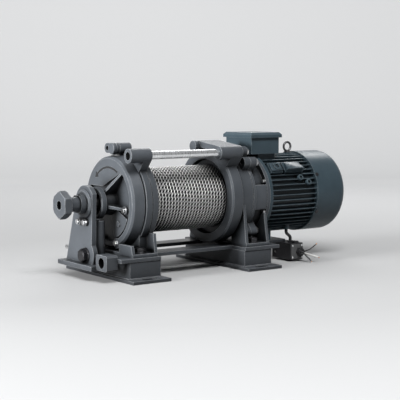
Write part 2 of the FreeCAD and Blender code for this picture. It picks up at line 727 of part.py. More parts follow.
def idler_gear(number):
    """Large wheel driven by the sun and small pinion that turns the ring, in one piece."""
    wheel = outside_gear(IDLER_TEETH, SUN_X, SUN_X + SUN_FACE)
    wheel.rotate(V(0, 0, 0), V(1, 0, 0), 180.0 / IDLER_TEETH)
    pinion = outside_gear(PINION_TEETH, SUN_X + SUN_FACE, PINION_END_X)
    pair = united(wheel, pinion).cut(rod(PIN_RADIUS + RUN, SUN_X, PINION_END_X, 0, 0))
    pair = pair.translate(V(0, CENTRE_DISTANCE, AXIS_HEIGHT))
    return about_axis(pair, idler_angle(number))


def idler_angle(number):
    return 90.0 + number * 360.0 / IDLER_COUNT


def idler_pins():
    pin = rod(PIN_RADIUS, PIN_START_X, PINION_END_X, CENTRE_DISTANCE)
    return group([about_axis(pin, idler_angle(n)) for n in range(IDLER_COUNT)])


def ring_gear():
    """Internal ring with a web that bolts on the drum's end face."""
    pitch = MODULE * RING_TEETH / 2
    root, tip = pitch + DEDENDUM * MODULE, pitch - ADDENDUM * MODULE
    space = toothed_bar(RING_TEETH, root, tip, -BACKLASH, PINION_X, RING_WEB_X)
    space = about_axis(space.translate(V(0, 0, AXIS_HEIGHT)), idler_angle(0))
    body = rod(root + RING_RIM, PINION_X, DRUM_START)
    return body.cut([space, rod(DRUM_BEARING_RADIUS + PASS, RING_WEB_X, DRUM_START)])


# Through shaft and hand drive

def drive_shaft():
    """Shaft from the hand-drive head through the drum to the motor's fan."""
    return rod(SHAFT_RADIUS, SHAFT_START, COWL_END_X - SHAFT_END_ROOM)


def hand_drive_head():
    """Hexagon head on a sleeve that runs in the outboard bearing."""
    head = hexagon(HEX_FLATS, HEX_THICK, V(HEX_X, 0, AXIS_HEIGHT), V(1, 0, 0))
    corner = HEX_FLATS / math.sqrt(3)
    end = HEX_X + HEX_THICK
    dish = turned([(HEX_X, 0), (HEX_X, corner - HEX_CHAMFER), (HEX_X + HEX_CHAMFER, corner),
                   (end - HEX_CHAMFER, corner), (end, corner - HEX_CHAMFER), (end, 0)])
    sleeve = rod(SLEEVE_RADIUS, end, BRACKET_BACK)
    bore = rod(SHAFT_RADIUS + SEAT, SHAFT_START, BRACKET_BACK)
    recess = rod(HEX_RECESS_RADIUS, HEX_X, HEX_X + HEX_RECESS_DEPTH)
    return united(head.common(dish), sleeve).cut([bore, recess])


def shaft_collar():
    """Clamping collar on the sleeve beside the bearing cap, with two spanner flats."""
    end = BRACKET_X - BEARING_CAP_THICK - COLLAR_GAP
    start = end - COLLAR_LENGTH
    radius = SLEEVE_RADIUS + COLLAR_WALL
    collar = ring(radius, SLEEVE_RADIUS + SEAT, start, end)
    crown = AXIS_HEIGHT + radius
    top = box(start, (start + end) / 2, -radius, radius, crown - COLLAR_FLAT, crown)
    return collar.cut([top, about_axis(top, 180)])


# Drum

def drum():
    """Welded drum: thick gear-end flange, hollow barrel, inner flange and two bearing hubs."""
    inside = BARREL_RADIUS - BARREL_WALL
    seat = DRUM_BEARING_RADIUS + SEAT
    hub = DRUM_BEARING_RADIUS + BARREL_WALL
    end = ROPE_END + INNER_FLANGE_THICK
    rim, c = DRUM_FLANGE_RADIUS, DRUM_FLANGE_CHAMFER
    return turned([(DRUM_START, seat), (DRUM_START, rim - c), (DRUM_START + c, rim), (ROPE_START - c, rim),
                   (ROPE_START, rim - c), (ROPE_START, BARREL_RADIUS), (ROPE_END, BARREL_RADIUS),
                   (ROPE_END, INNER_FLANGE_RADIUS), (end, INNER_FLANGE_RADIUS), (end, seat),
                   (end - DRUM_BEARING_WIDTH, seat), (end - DRUM_BEARING_WIDTH, hub), (ROPE_END, hub),
                   (ROPE_END, inside), (ROPE_START, inside), (ROPE_START, seat)])


def drum_bearings():
    end = ROPE_END + INNER_FLANGE_THICK
    bore = SHAFT_RADIUS + RUN
    return group([ring(DRUM_BEARING_RADIUS, bore, DRUM_START, DRUM_START + DRUM_BEARING_WIDTH),
                  ring(DRUM_BEARING_RADIUS, bore, end - DRUM_BEARING_WIDTH, end)])


def rope_winding():
    """Two layers of wire rope; each turn of the outer layer is a round bead."""
    pitch = (ROPE_END - ROPE_START) / ROPE_TURNS
    valley = ROPE_RADIUS - ROPE_VALLEY
    profile = [(ROPE_START, BARREL_RADIUS), (ROPE_START, valley)]
    for turn in range(ROPE_TURNS):
        x = ROPE_START + turn * pitch
        profile.append(((x + pitch / 2, ROPE_RADIUS), (x + pitch, valley)))
    profile.append((ROPE_END, BARREL_RADIUS))
    return turned(profile)


# Cast housings

def arm(x0, x1, y, z, width, reach):
    """Straight web from an outlying boss toward the drum axis, ending at a radius."""
    away = V(0, y, z - AXIS_HEIGHT)
    unit = away / away.Length
    side = V(0, -unit.z, unit.y) * (width / 2)
    centre = V(x0, 0, AXIS_HEIGHT)
    near, far = centre + unit * reach, centre + away
    return prism([near - side, far - side, far + side, near + side], V(x1 - x0, 0, 0))


def gusset(x, top_y, top_z):
    """Pair of upright foot webs, front and rear, leaning in toward the housing."""
    webs = []
    for side in (-1, 1):
        points = [V(x, side * FOOT_PAD_END, DECK_Z), V(x, side * top_y, top_z),
                  V(x, side * FOOT_PAD_END / 2, top_z), V(x, side * FOOT_PAD_END / 2, DECK_Z)]
        webs.append(prism(points, V(GUSSET_THICK, 0, 0)))
    return webs


def foot_pad(x0, x1):
    return box(x0, x1, -FOOT_PAD_END, FOOT_PAD_END, DECK_Z, DECK_Z + FOOT_PAD_THICK)


def gear_housing():
    """Round housing ring with feet, tie-rod bosses and the top lug boss."""
    x0, x1 = COVER_JOINT_X, HOUSING_END_X
    groove = HOUSING_GROOVE
    barrel = turned([(x0, HOUSING_BORE), (x0, COVER_RADIUS), (x0 + groove, COVER_RADIUS),
                     (x0 + groove, HOUSING_RADIUS), (x1 - groove, HOUSING_RADIUS),
                     (x1, HOUSING_RADIUS - groove), (x1, HOUSING_BORE)])
    pieces = [foot_pad(GEAR_FOOT_X0, GEAR_FOOT_X1)]
    pieces += gusset(GEAR_FOOT_X0, GEAR_GUSSET_Y, AXIS_HEIGHT - GEAR_LOW_GUSSET_DROP)
    pieces += gusset(GEAR_FOOT_X1 - GUSSET_THICK, GEAR_GUSSET_Y, AXIS_HEIGHT - GEAR_GUSSET_DROP)
    half = HOUSING_RADIUS - PEDESTAL_INSET
    pieces.append(box(x0, x1, -half, half, DECK_Z, AXIS_HEIGHT - half / 2))
    for y, z in TIE_PLACES:
        pieces += [rod(TIE_BOSS_RADIUS, TIE_START, x1, y, z),
                   arm(x0, x1, y, z, 2 * TIE_BOSS_RADIUS, HOUSING_BORE)]
    pieces += [rod(LUG_BOLT_HEAD_RADIUS, LUG_SEAT_X, x1, LUG_Y, LUG_Z),
               arm(x0 + groove, x1, LUG_Y, LUG_Z, 2 * LUG_BOLT_HEAD_RADIUS, HOUSING_BORE)]
    casting = united(barrel, *pieces)
    holes = [rod(TIE_RADIUS + SEAT, TIE_START, x1, y, z) for y, z in TIE_PLACES]
    holes += [rod(LUG_BOLT_RADIUS + SEAT, LUG_SEAT_X, x1, LUG_Y, LUG_Z),
              rod(HOUSING_BORE, GEAR_FOOT_X0, x1)]
    holes.append(rod(COVER_RIM_RADIUS + PASS, GEAR_FOOT_X0, x0))
    holes.append(rod(DRUM_FLANGE_RADIUS + END_ROOM, x1, GEAR_FOOT_X1))
    holes += foot_bolt_holes(-BEAM_X, DECK_Z, DECK_Z + FOOT_PAD_THICK)
    return casting.cut(holes)


def sector(inner, outer, start, end, x0, x1):
    """Part of a flat ring between two angles about the drum axis."""
    middle = (start + end) / 2
    points = [polar(inner, start, x0), polar(outer, start, x0),
              (polar(outer, middle, x0), polar(outer, end, x0)),
              polar(inner, end, x0), (polar(inner, middle, x0), polar(inner, start, x0))]
    return prism(points, V(x1 - x0, 0, 0))


def rib(degrees, outer):
    """Radial gusset on the cover's face, tallest at the back of the hub's ring."""
    z = AXIS_HEIGHT - RIB_WIDTH / 2
    inner = COVER_BEARING_RADIUS + HUB_NECK_WALL / 2
    side = [V(COVER_FLOOR_X, -inner, z), V(HUB_RING_X, -inner, z), V(HUB_RING_X, -HUB_BORE, z),
            V(COVER_X, -outer, z), V(COVER_FLOOR_X, -outer, z)]
    return about_axis(prism(side, V(0, 0, RIB_WIDTH)), -degrees)


def upper_panel(x0, x1):
    """Flat upper field of the cover with a level rear edge and a front edge along the first rib."""
    far = COVER_RADIUS
    low, top = AXIS_HEIGHT + PANEL_EDGE, AXIS_HEIGHT + COVER_RADIUS
    corners = [V(x0, far, low), V(x0, PANEL_BEND_Y, low), V(x0, -PANEL_FRONT_Y, AXIS_HEIGHT + PANEL_FRONT_Z),
               V(x0, -PANEL_FRONT_Y, top), V(x0, far, top)]
    return prism(corners, V(x1 - x0, 0, 0)).common(rod(COVER_FIELD_RADIUS + PASS, x0, x1))


def arrow():
    """Engraved turning arrow: an arc with a pointed head."""
    x0, x1 = COVER_X, COVER_X + ARROW_DEPTH
    middle = COVER_FIELD_RADIUS - ARROW_INSET
    half = ARROW_WIDTH / 2
    shaft = sector(middle - half, middle + half, ARROW_START, ARROW_END, x0, x1)
    tip = [polar(middle - ARROW_HEAD / 2, ARROW_END, x0), polar(middle + ARROW_HEAD / 2, ARROW_END, x0),
           polar(middle, ARROW_END + ARROW_TIP_TURN, x0)]
    return [shaft, prism(tip, V(ARROW_DEPTH, 0, 0))]


def cover_bolt_points():
    return [polar(COVER_BOLT_CIRCLE, angle, COVER_X) for angle in COVER_BOLT_ANGLES]


def field_bolt_point():
    """Seat of the bolt in the sunk field, at the end of the low rib."""
    return polar(FIELD_BOLT_PLACE, LOW_RIB_ANGLE, COVER_X + FIELD_BOLT_SINK)


def cover_shell():
    """Turned body of the cover: dished wall, drafted rim and necked hub with its bearing seat."""
    x0, inner = COVER_X, COVER_X + COVER_WALL
    seat = COVER_BEARING_RADIUS + SEAT
    return turned([(COVER_JOINT_X, CAVITY_RADIUS), (COVER_JOINT_X, COVER_RIM_RADIUS),
                   (x0 + COVER_CHAMFER, COVER_RADIUS), (x0, COVER_RADIUS - COVER_CHAMFER),
                   (x0, HUB_NECK_RADIUS + HUB_FLARE), (HUB_RING_X, HUB_NECK_RADIUS), (HUB_RING_X, HUB_RADIUS),
                   (HUB_X + HUB_CHAMFER, HUB_RADIUS), (HUB_X, HUB_RADIUS - HUB_CHAMFER), (HUB_X, HUB_BORE),
                   (HUB_RING_X - HUB_CHAMFER, HUB_BORE), (HUB_RING_X - HUB_CHAMFER, seat), (inner, seat),
                   (inner, CAVITY_RADIUS)])


def cover_face():
    """Raised fields on the sunk face: two panels, two ribs and the bosses of plug and field bolt."""
    floor = COVER_FLOOR_X
    low_start, low_end = LOW_PANEL_ANGLES
    low = sector(HUB_NECK_RADIUS, COVER_FIELD_RADIUS - LOW_PANEL_INSET, low_start, low_end,
                 COVER_X + LOW_PANEL_DROP, floor)
    plug = polar(PLUG_PLACE, PLUG_ANGLE)
    bolt = field_bolt_point()
    return [upper_panel(COVER_X, floor), low, rod(PLUG_RADIUS, COVER_X, floor, plug.y, plug.z),
            rod(COVER_BOLT[3] + END_ROOM, bolt.x, floor, bolt.y, bolt.z),
            rib(FRONT_RIB_ANGLE, COVER_FIELD_RADIUS + PASS),
            rib(LOW_RIB_ANGLE, FIELD_BOLT_PLACE - COVER_BOLT[3] - PASS)]


def cover_lobe(point):
    """Thickening of the rim round a cover bolt."""
    lobe = rod(COVER_LOBE_RADIUS, COVER_X, COVER_JOINT_X, point.y, point.z)
    cavity = rod(CAVITY_RADIUS, COVER_X + COVER_WALL, COVER_JOINT_X)
    return lobe.common(rod(COVER_RIM_RADIUS, COVER_X, COVER_JOINT_X)).cut(cavity)


def gear_cover():
    """Cast cover with hub, sunk field, ribs, bolt lobes and bosses for the idler pins."""
    inner = COVER_X + COVER_WALL
    field = ring(COVER_FIELD_RADIUS, HUB_NECK_RADIUS + HUB_FLARE, COVER_X, COVER_FLOOR_X)
    boss = rod(PIN_RADIUS + PIN_BOSS_WALL, inner, inner + PIN_BOSS_LENGTH, CENTRE_DISTANCE)
    hole = rod(PIN_RADIUS + SEAT, PIN_START_X, SUN_X, CENTRE_DISTANCE)
    turns = [idler_angle(number) for number in range(IDLER_COUNT)]
    lobes = [cover_lobe(point) for point in cover_bolt_points()]
    bosses = [about_axis(boss, turn) for turn in turns]
    casting = united(cover_shell().cut(field), *(cover_face() + lobes + bosses))
    holes = [about_axis(hole, turn) for turn in turns]
    holes += [rod(bolt_radius(COVER_BOLT), COVER_X, COVER_JOINT_X, p.y, p.z) for p in cover_bolt_points()]
    bolt = field_bolt_point()
    holes.append(rod(bolt_radius(COVER_BOLT), bolt.x, PIN_START_X, bolt.y, bolt.z))
    return casting.cut(holes + arrow())


def cover_bolts():
    """Zinc-plated bolts of the cover and of the keeper plate."""
    out = V(-1, 0, 0)
    cover = [hex_bolt(COVER_BOLT, p, out, COVER_DEPTH) for p in cover_bolt_points()]
    seat = field_bolt_point()
    cover.append(hex_bolt(COVER_BOLT, seat, out, PIN_START_X - seat.x))
    keeper = [hex_bolt(COVER_BOLT, p, out, KEEPER_THICK + BRACKET_THICK) for p in keeper_bolt_points()]
    return group(cover + keeper)


def cover_bearing():
    return ring(COVER_BEARING_RADIUS, SHAFT_RADIUS + RUN, COVER_BEARING_X, COVER_X + COVER_WALL)


def joint_lugs(x0, x1, inner):
    """Bolt lugs round the joint between the housing and the adapter."""
    lugs = []
    for angle in JOINT_LUG_ANGLES:
        p = polar(JOINT_LUG_CIRCLE, angle)
        lugs += [rod(JOINT_LUG_RADIUS, x0, x1, p.y, p.z), arm(x0, x1, p.y, p.z, 2 * JOINT_LUG_RADIUS, inner)]
    return lugs


def joint_bolt_points():
    seat = END_HOUSING_END_X + JOINT_LUG_LENGTH
    return [polar(JOINT_LUG_CIRCLE, angle, seat) for angle in JOINT_LUG_ANGLES]


def joint_bolt_holes(x0, x1):
    return [rod(bolt_radius(JOINT_BOLT), x0, x1, p.y, p.z) for p in joint_bolt_points()]


def shoulder(x0, x1):
    """Web between the upper tie-rod boss and the top boss, level with the tops of both."""
    tie, top = (V(x0, y, z) for y, z in (TIE_PLACES[0], (LUG_Y, LUG_Z)))
    along = (top - tie).normalize()
    up = V(0, -along.z, along.y)
    return prism([tie, tie + up * TIE_BOSS_RADIUS, top + up * LUG_BOLT_HEAD_RADIUS, top], V(x1 - x0, 0, 0))


def motor_end_housing():
    """Round housing whose open mouth takes the drum's inner flange, with feet and tie-rod bosses."""
    x0, x1 = END_HOUSING_X, END_HOUSING_END_X
    rim_end = x0 + END_HOUSING_RIM
    rim, c = END_HOUSING_RADIUS, END_HOUSING_CHAMFER
    inside = NECK_RADIUS - END_HOUSING_WALL
    barrel = turned([(x0, MOUTH_RADIUS), (x0, rim - c), (x0 + c, rim), (rim_end - c, rim), (rim_end, rim - c),
                     (rim_end, NECK_RADIUS), (x1, NECK_RADIUS), (x1, inside), (rim_end, inside),
                     (rim_end, MOUTH_RADIUS)])
    pieces = [foot_pad(MOTOR_FOOT_X0, MOTOR_FOOT_X1)]
    pieces += gusset(MOTOR_FOOT_X0, MOTOR_GUSSET_Y, AXIS_HEIGHT - MOTOR_GUSSET_DROP)
    pieces += gusset(MOTOR_FOOT_X1 - GUSSET_THICK, MOTOR_GUSSET_Y, AXIS_HEIGHT - OUTER_GUSSET_DROP)
    boss_x = x0 - TIE_BOSS_STEP
    reach = (MOUTH_RADIUS + rim) / 2
    for y, z in TIE_PLACES:
        pieces += [rod(TIE_BOSS_RADIUS, boss_x, rim_end, y, z),
                   arm(x0, rim_end, y, z, 2 * TIE_BOSS_RADIUS, reach)]
    pieces += [rod(LUG_BOLT_HEAD_RADIUS, x0 - TOP_BOSS_STEP, rim_end, LUG_Y, LUG_Z),
               arm(x0, rim_end, LUG_Y, LUG_Z, 2 * LUG_BOLT_HEAD_RADIUS, reach)]
    pieces.append(shoulder(boss_x, rim_end))
    lug_x = x1 - JOINT_LUG_LENGTH
    pieces += joint_lugs(lug_x, x1, NECK_RADIUS - END_HOUSING_WALL / 2)
    casting = united(barrel, *pieces)
    holes = [rod(TIE_RADIUS + SEAT, boss_x, rim_end, y, z) for y, z in TIE_PLACES]
    holes += joint_bolt_holes(lug_x, x1)
    holes += [rod(MOUTH_RADIUS, x0, rim_end), rod(inside, rim_end, MOTOR_FOOT_X1)]
    holes += foot_bolt_holes(BEAM_X, DECK_Z, DECK_Z + FOOT_PAD_THICK)
    holes.append(rod(NECK_RADIUS, x1, MOTOR_FOOT_X1))
    return casting.cut(holes)


def motor_adapter():
    """Bell between the housing and the motor's flange, with side panels and a bulkhead round the shaft."""
    x0 = END_HOUSING_END_X
    wall = x0 + END_HOUSING_WALL
    flange = MOTOR_X - FLANGE_THICK
    inside = ADAPTER_RADIUS - ADAPTER_WALL
    rim, c = NECK_RADIUS - PASS, ADAPTER_CHAMFER
    bore = SHAFT_RADIUS + SHAFT_ROOM
    bell = turned([(x0, bore), (x0, rim - c), (x0 + c, rim), (wall, rim),
                   (wall + ADAPTER_CONE, ADAPTER_RADIUS), (flange, ADAPTER_RADIUS), (flange, FLANGE_RADIUS),
                   (MOTOR_X, FLANGE_RADIUS), (MOTOR_X, inside), (wall, inside), (wall, bore)])
    lug_end = x0 + JOINT_LUG_LENGTH
    low, high = ADAPTER_PANEL_ANGLES
    outer = ADAPTER_RADIUS + ADAPTER_PANEL_RISE
    panels = [sector(ADAPTER_RADIUS - ADAPTER_WALL / 2, outer, start, end, wall, flange)
              for start, end in ((low, high), (180 - high, 180 - low))]
    lugs = joint_lugs(x0, lug_end, ADAPTER_RADIUS - ADAPTER_WALL / 2)
    casting = united(bell, *(panels + lugs))
    return casting.cut(flange_bolt_holes(flange, MOTOR_X) + joint_bolt_holes(x0, lug_end))


def flange_bolt_points():
    step = 360.0 / FLANGE_BOLT_COUNT
    x = MOTOR_X - FLANGE_THICK
    return [polar(FLANGE_BOLT_CIRCLE, (n + 0.5) * step, x) for n in range(FLANGE_BOLT_COUNT)]


def flange_bolt_holes(x0, x1):
    return [rod(bolt_radius(FLANGE_BOLT), x0, x1, p.y, p.z) for p in flange_bolt_points()]


def adapter_bolts():
    """Flange bolts with heads on the housing side, and the bolts of the joint's lugs."""
    length = FLANGE_THICK + ENDSHIELD_THICK
    flange = [hex_bolt(FLANGE_BOLT, p, V(-1, 0, 0), length) for p in flange_bolt_points()]
    joint = [hex_bolt(JOINT_BOLT, p, V(1, 0, 0), 2 * JOINT_LUG_LENGTH) for p in joint_bolt_points()]
    return group(flange + joint)


def tie_rods():
    start = TIE_START + TIE_RECESS
    end = END_HOUSING_X + END_HOUSING_RIM
    return group([rod(TIE_RADIUS, start, end, y, z) for y, z in TIE_PLACES])


def lifting_lug():
    """Flat eye plate clamped under the lug bolt."""
    x0, x1 = LUG_SEAT_X - LUG_PLATE_THICK, LUG_SEAT_X
    eye = V(0, LUG_Y + LUG_REACH, LUG_Z)
    strap = box(x0, x1, LUG_Y, eye.y, LUG_Z - LUG_EYE_RADIUS, LUG_Z + LUG_EYE_RADIUS)
    head = rod(LUG_EYE_RADIUS, x0, x1, eye.y, eye.z)
    root = rod(LUG_EYE_RADIUS, x0, x1, LUG_Y, LUG_Z)
    holes = [rod(LUG_HOLE_RADIUS, x0, x1, eye.y, eye.z),
             rod(LUG_BOLT_RADIUS + SEAT, x0, x1, LUG_Y, LUG_Z)]
    return united(strap, head, root).cut(holes)


def lug_bolt():
    """Large round-headed bolt through the lug plate into the top boss."""
    seat = LUG_SEAT_X - LUG_PLATE_THICK
    face = seat - LUG_BOLT_HEAD
    rim, c = LUG_BOLT_HEAD_RADIUS, LUG_BOLT_CHAMFER
    head = turned([(face, 0), (face, rim - c), (face + c, rim), (seat, rim), (seat, 0)], LUG_Y, LUG_Z)
    return united(head, rod(LUG_BOLT_RADIUS, seat, HOUSING_END_X, LUG_Y, LUG_Z))


# Motor

def finned_profile(x):
    """Outline of the motor frame: a round body with straight cooling fins all round."""
    step = 360.0 / FIN_COUNT
    half_foot = math.degrees(FIN_THICK / 2 / MOTOR_FRAME_RADIUS)
    half_tip = math.degrees(FIN_THICK / 2 / FIN_RADIUS) * FIN_TAPER
    points = []
    for number in range(FIN_COUNT):
        c = number * step
        points += [polar(MOTOR_FRAME_RADIUS, c - half_foot, x), polar(FIN_RADIUS, c - half_tip, x),
                   polar(FIN_RADIUS, c + half_tip, x), polar(MOTOR_FRAME_RADIUS, c + half_foot, x)]
    return points


def side_pads(x0, x1):
    """Cast pads on both sides of the frame that stand a little above the fins."""
    half = PAD_WIDTH / 2
    foot = MOTOR_FRAME_RADIUS - MOTOR_FRAME_WALL / 2
    pad = box(x0, x1, -FIN_RADIUS - PAD_RISE, -foot, AXIS_HEIGHT - half, AXIS_HEIGHT + half)
    return [about_axis(pad, -PAD_ANGLE), about_axis(pad, PAD_ANGLE - 180)]


def side_boss(x, degrees):
    """Round boss that stands radially out of the fins."""
    foot = polar(MOTOR_FRAME_RADIUS - MOTOR_FRAME_WALL / 2, degrees, x)
    tip = polar(FIN_RADIUS + SIDE_BOSS_RISE, degrees, x)
    return Part.makeCylinder(SIDE_BOSS_RADIUS, (tip - foot).Length, foot, tip - foot)


def support_struts(x0):
    """Two short legs under the frame that rest on the support plate."""
    x = x0 + STRUT_OFFSET
    near, far = STRUT_Y, STRUT_Y + STRUT_WIDTH
    base = BEAM_TOP + SUPPORT_THICK
    return [box(x, x + STRUT_LENGTH, y0, y1, base, AXIS_HEIGHT) for y0, y1 in ((-far, -near), (near, far))]


def motor_frame():
    """Finned frame with a saddle for the terminal box, pads, bosses and legs."""
    x0, x1 = MOTOR_X + ENDSHIELD_THICK, MOTOR_END_X - ENDSHIELD_THICK
    fins = prism(finned_profile(x0), V(x1 - x0, 0, 0))
    saddle_x = TERMINAL_X + TERMINAL_LENGTH / 2 - SADDLE_INSET
    saddle = box(x0, saddle_x, -SADDLE_WIDTH / 2, SADDLE_WIDTH / 2, AXIS_HEIGHT, TERMINAL_BASE_Z)
    eye_boss = Part.makeCylinder(EYE_BOSS_RADIUS, EYE_SEAT_Z - AXIS_HEIGHT, V(EYE_X, 0, AXIS_HEIGHT))
    lead_start = lead_route()[0]
    lead_boss = Part.makeCylinder(LEAD_RADIUS + LEAD_BOSS_WALL, LEAD_BOSS_DROP, lead_start)
    pads = [pad for start, end in PAD_SPANS for pad in side_pads(x0 + start, x0 + end)]
    bosses = [side_boss(x0 + place, angle) for place, angle in SIDE_BOSSES]
    casting = united(fins, saddle, eye_boss, lead_boss, *(pads + bosses + support_struts(x0)))
    bore = rod(MOTOR_FRAME_RADIUS - MOTOR_FRAME_WALL, x0, x1)
    eye_hole = Part.makeCylinder(EYE_SHANK_RADIUS + SEAT, EYE_SHANK, V(EYE_X, 0, EYE_SEAT_Z - EYE_SHANK))
    return casting.cut([bore, eye_hole])


def endshield(x_out, x_in, radius, holes):
    """Round end plate with a bearing hub on its inner side."""
    way = 1 if x_in > x_out else -1
    seat = MOTOR_BEARING_RADIUS + SEAT
    hub_end = x_out + way * MOTOR_BEARING_WIDTH
    hub = seat + BEARING_HUB_WALL
    plate = turned([(x_out, seat), (x_out, radius), (x_in, radius), (x_in, hub + BEARING_HUB_FLARE),
                    (hub_end, hub), (hub_end, seat)])
    return plate.cut(holes)


def drive_endshield():
    x1 = MOTOR_X + ENDSHIELD_THICK
    return endshield(MOTOR_X, x1, FLANGE_RADIUS, flange_bolt_holes(MOTOR_X, x1))


def fan_endshield():
    holes = [cowl_screw_hole(angle) for angle in COWL_SCREW_ANGLES]
    return endshield(MOTOR_END_X, MOTOR_END_X - ENDSHIELD_THICK, COWL_RADIUS - COWL_WALL - SEAT, holes)


def motor_bearings():
    bore = SHAFT_RADIUS + RUN
    return group([ring(MOTOR_BEARING_RADIUS, bore, MOTOR_X, MOTOR_X + MOTOR_BEARING_WIDTH),
                  ring(MOTOR_BEARING_RADIUS, bore, MOTOR_END_X - MOTOR_BEARING_WIDTH, MOTOR_END_X)])


def core_span():
    middle = (MOTOR_X + MOTOR_END_X) / 2
    return middle - CORE_LENGTH / 2, middle + CORE_LENGTH / 2


def stator_core():
    return ring(MOTOR_FRAME_RADIUS - MOTOR_FRAME_WALL - SEAT, STATOR_BORE, *core_span())


def rotor():
    return ring(ROTOR_RADIUS, SHAFT_RADIUS + SEAT, *core_span())


def brake_magnet():
    """Ring magnet of the holding brake, screwed on the fan endshield."""
    return ring(BRAKE_RADIUS, SHAFT_RADIUS + SHAFT_ROOM, MOTOR_END_X, MOTOR_END_X + BRAKE_MAGNET_THICK)


def brake_disc():
    rim = BRAKE_RADIUS - BRAKE_DISC_STEP
    return ring(rim, SHAFT_RADIUS + SEAT, BRAKE_DISC_X, BRAKE_DISC_X + BRAKE_DISC_THICK)


def fan():
    """Radial fan: hub, back plate and straight blades."""
    end = FAN_X + FAN_WIDTH
    outer = SHAFT_RADIUS + FAN_HUB_WALL
    inner = SHAFT_RADIUS + FAN_HUB_WALL / 2
    half = FAN_SHEET / 2
    hub = ring(outer, SHAFT_RADIUS + SEAT, FAN_X, end)
    plate = ring(FAN_RADIUS, inner, FAN_X, FAN_X + FAN_SHEET)
    blade = box(FAN_X, end, -FAN_RADIUS, -inner, AXIS_HEIGHT - half, AXIS_HEIGHT + half)
    blades = [about_axis(blade, n * 360.0 / FAN_BLADES) for n in range(FAN_BLADES)]
    return united(hub, plate, *blades)


def cowl_screw_hole(angle):
    return radial_rod(COWL_SCREW_RADIUS + SEAT, COWL_RADIUS - COWL_SCREW_LENGTH, COWL_RADIUS, angle)


def radial_rod(radius, inner, outer, angle):
    """Cylinder pointing out from the axis over the fan endshield's rim."""
    start = polar(inner, angle, MOTOR_END_X - ENDSHIELD_THICK / 2)
    way = polar(outer, angle, start.x) - start
    return Part.makeCylinder(radius, way.Length, start, way)


def cowl_screws():
    screws = []
    for angle in COWL_SCREW_ANGLES:
        shank = radial_rod(COWL_SCREW_RADIUS, COWL_RADIUS - COWL_SCREW_LENGTH, COWL_RADIUS, angle)
        head = radial_rod(COWL_SCREW_RADIUS * 2, COWL_RADIUS, COWL_RADIUS + COWL_SCREW_HEAD, angle)
        seat = rod(COWL_RADIUS, MOTOR_END_X - ENDSHIELD_THICK, MOTOR_END_X)
        screws.append(united(shank, head.cut(seat)))
    return group(screws)


def fan_cowl():
    """Pressed cowl with a rounded rear edge and a slotted air inlet in its end."""
    x0, x1 = MOTOR_END_X - ENDSHIELD_THICK, COWL_END_X
    r, c, w = COWL_RADIUS, COWL_CORNER, COWL_WALL
    lean = 1 - math.sqrt(0.5)
    outer_mid = (x1 - c * lean, r - c * lean)
    inner_c = c - w
    inner_mid = (x1 - w - inner_c * lean, r - w - inner_c * lean)
    shell = turned([(x0, r - w), (x0, r), (x1 - c, r), (outer_mid, (x1, r - c)), (x1, 0), (x1 - w, 0),
                    (x1 - w, r - c), (inner_mid, (x1 - c, r - w))])
    half = INLET_SLOT / 2
    inlet = box(x1 - w, x1, -INLET_OUTER, -INLET_INNER, AXIS_HEIGHT - half, AXIS_HEIGHT + half)
    slots = [about_axis(inlet, n * 360.0 / INLET_COUNT) for n in range(INLET_COUNT)]
    return shell.cut(slots + [cowl_screw_hole(angle) for angle in COWL_SCREW_ANGLES])


def terminal_box():
    """Open-topped cast box on the motor's saddle."""
    x0, x1 = TERMINAL_X - TERMINAL_LENGTH / 2, TERMINAL_X + TERMINAL_LENGTH / 2
    y = TERMINAL_DEPTH / 2
    z0, z1 = TERMINAL_BASE_Z, TERMINAL_BASE_Z + TERMINAL_HEIGHT
    w = TERMINAL_WALL
    return box(x0, x1, -y, y, z0, z1).cut(box(x0 + w, x1 - w, -y + w, y - w, z0 + w, z1))


def terminal_box_lid():
    """Lid with a sloping edge on all four sides."""
    x, y = TERMINAL_LENGTH / 2 + LID_OVERHANG, TERMINAL_DEPTH / 2 + LID_OVERHANG
    z0 = TERMINAL_BASE_Z + TERMINAL_HEIGHT
    lid = box(TERMINAL_X - x, TERMINAL_X + x, -y, y, z0, z0 + LID_THICK)
    top_edges = [e for e in lid.Edges if e.BoundBox.ZMin > z0 + LID_THICK - 0.01]
    return lid.makeChamfer(LID_OVERHANG, top_edges)


def eye_bolt():
    """Lifting eye: collar, shank and a round ring let into the collar."""
    collar_top = EYE_SEAT_Z + EYE_COLLAR_HEIGHT
    centre = V(EYE_X, 0, collar_top - EYE_RING_SINK + EYE_RING_RADIUS + EYE_SECTION_RADIUS)
    eye = Part.makeTorus(EYE_RING_RADIUS, EYE_SECTION_RADIUS, centre, V(0, 1, 0))
    eye.rotate(centre, V(0, 1, 0), 90)
    collar = Part.makeCylinder(EYE_COLLAR_RADIUS, EYE_COLLAR_HEIGHT, V(EYE_X, 0, EYE_SEAT_Z))
    shank = Part.makeCylinder(EYE_SHANK_RADIUS, EYE_SHANK, V(EYE_X, 0, EYE_SEAT_Z - EYE_SHANK))
    return united(eye, collar, shank)


# Motor support, junction box and leads

def motor_support():
    """Tongue welded to the deck plate under the motor, for the junction box."""
    half = SUPPORT_WIDTH / 2
    return box(DECK_OUT, DECK_OUT + SUPPORT_LENGTH, -half, half, BEAM_TOP, BEAM_TOP + SUPPORT_THICK)


def junction_box():
    """Small moulded box hung under the support plate's end."""
    shell = box(JUNCTION_X, JUNCTION_X + JUNCTION_LENGTH, JUNCTION_Y, JUNCTION_Y + JUNCTION_WIDTH,
                BEAM_TOP - JUNCTION_HEIGHT, BEAM_TOP)
    upright = [e for e in shell.Edges if e.BoundBox.ZLength > JUNCTION_HEIGHT / 2]
    return shell.makeFillet(JUNCTION_CORNER, upright)


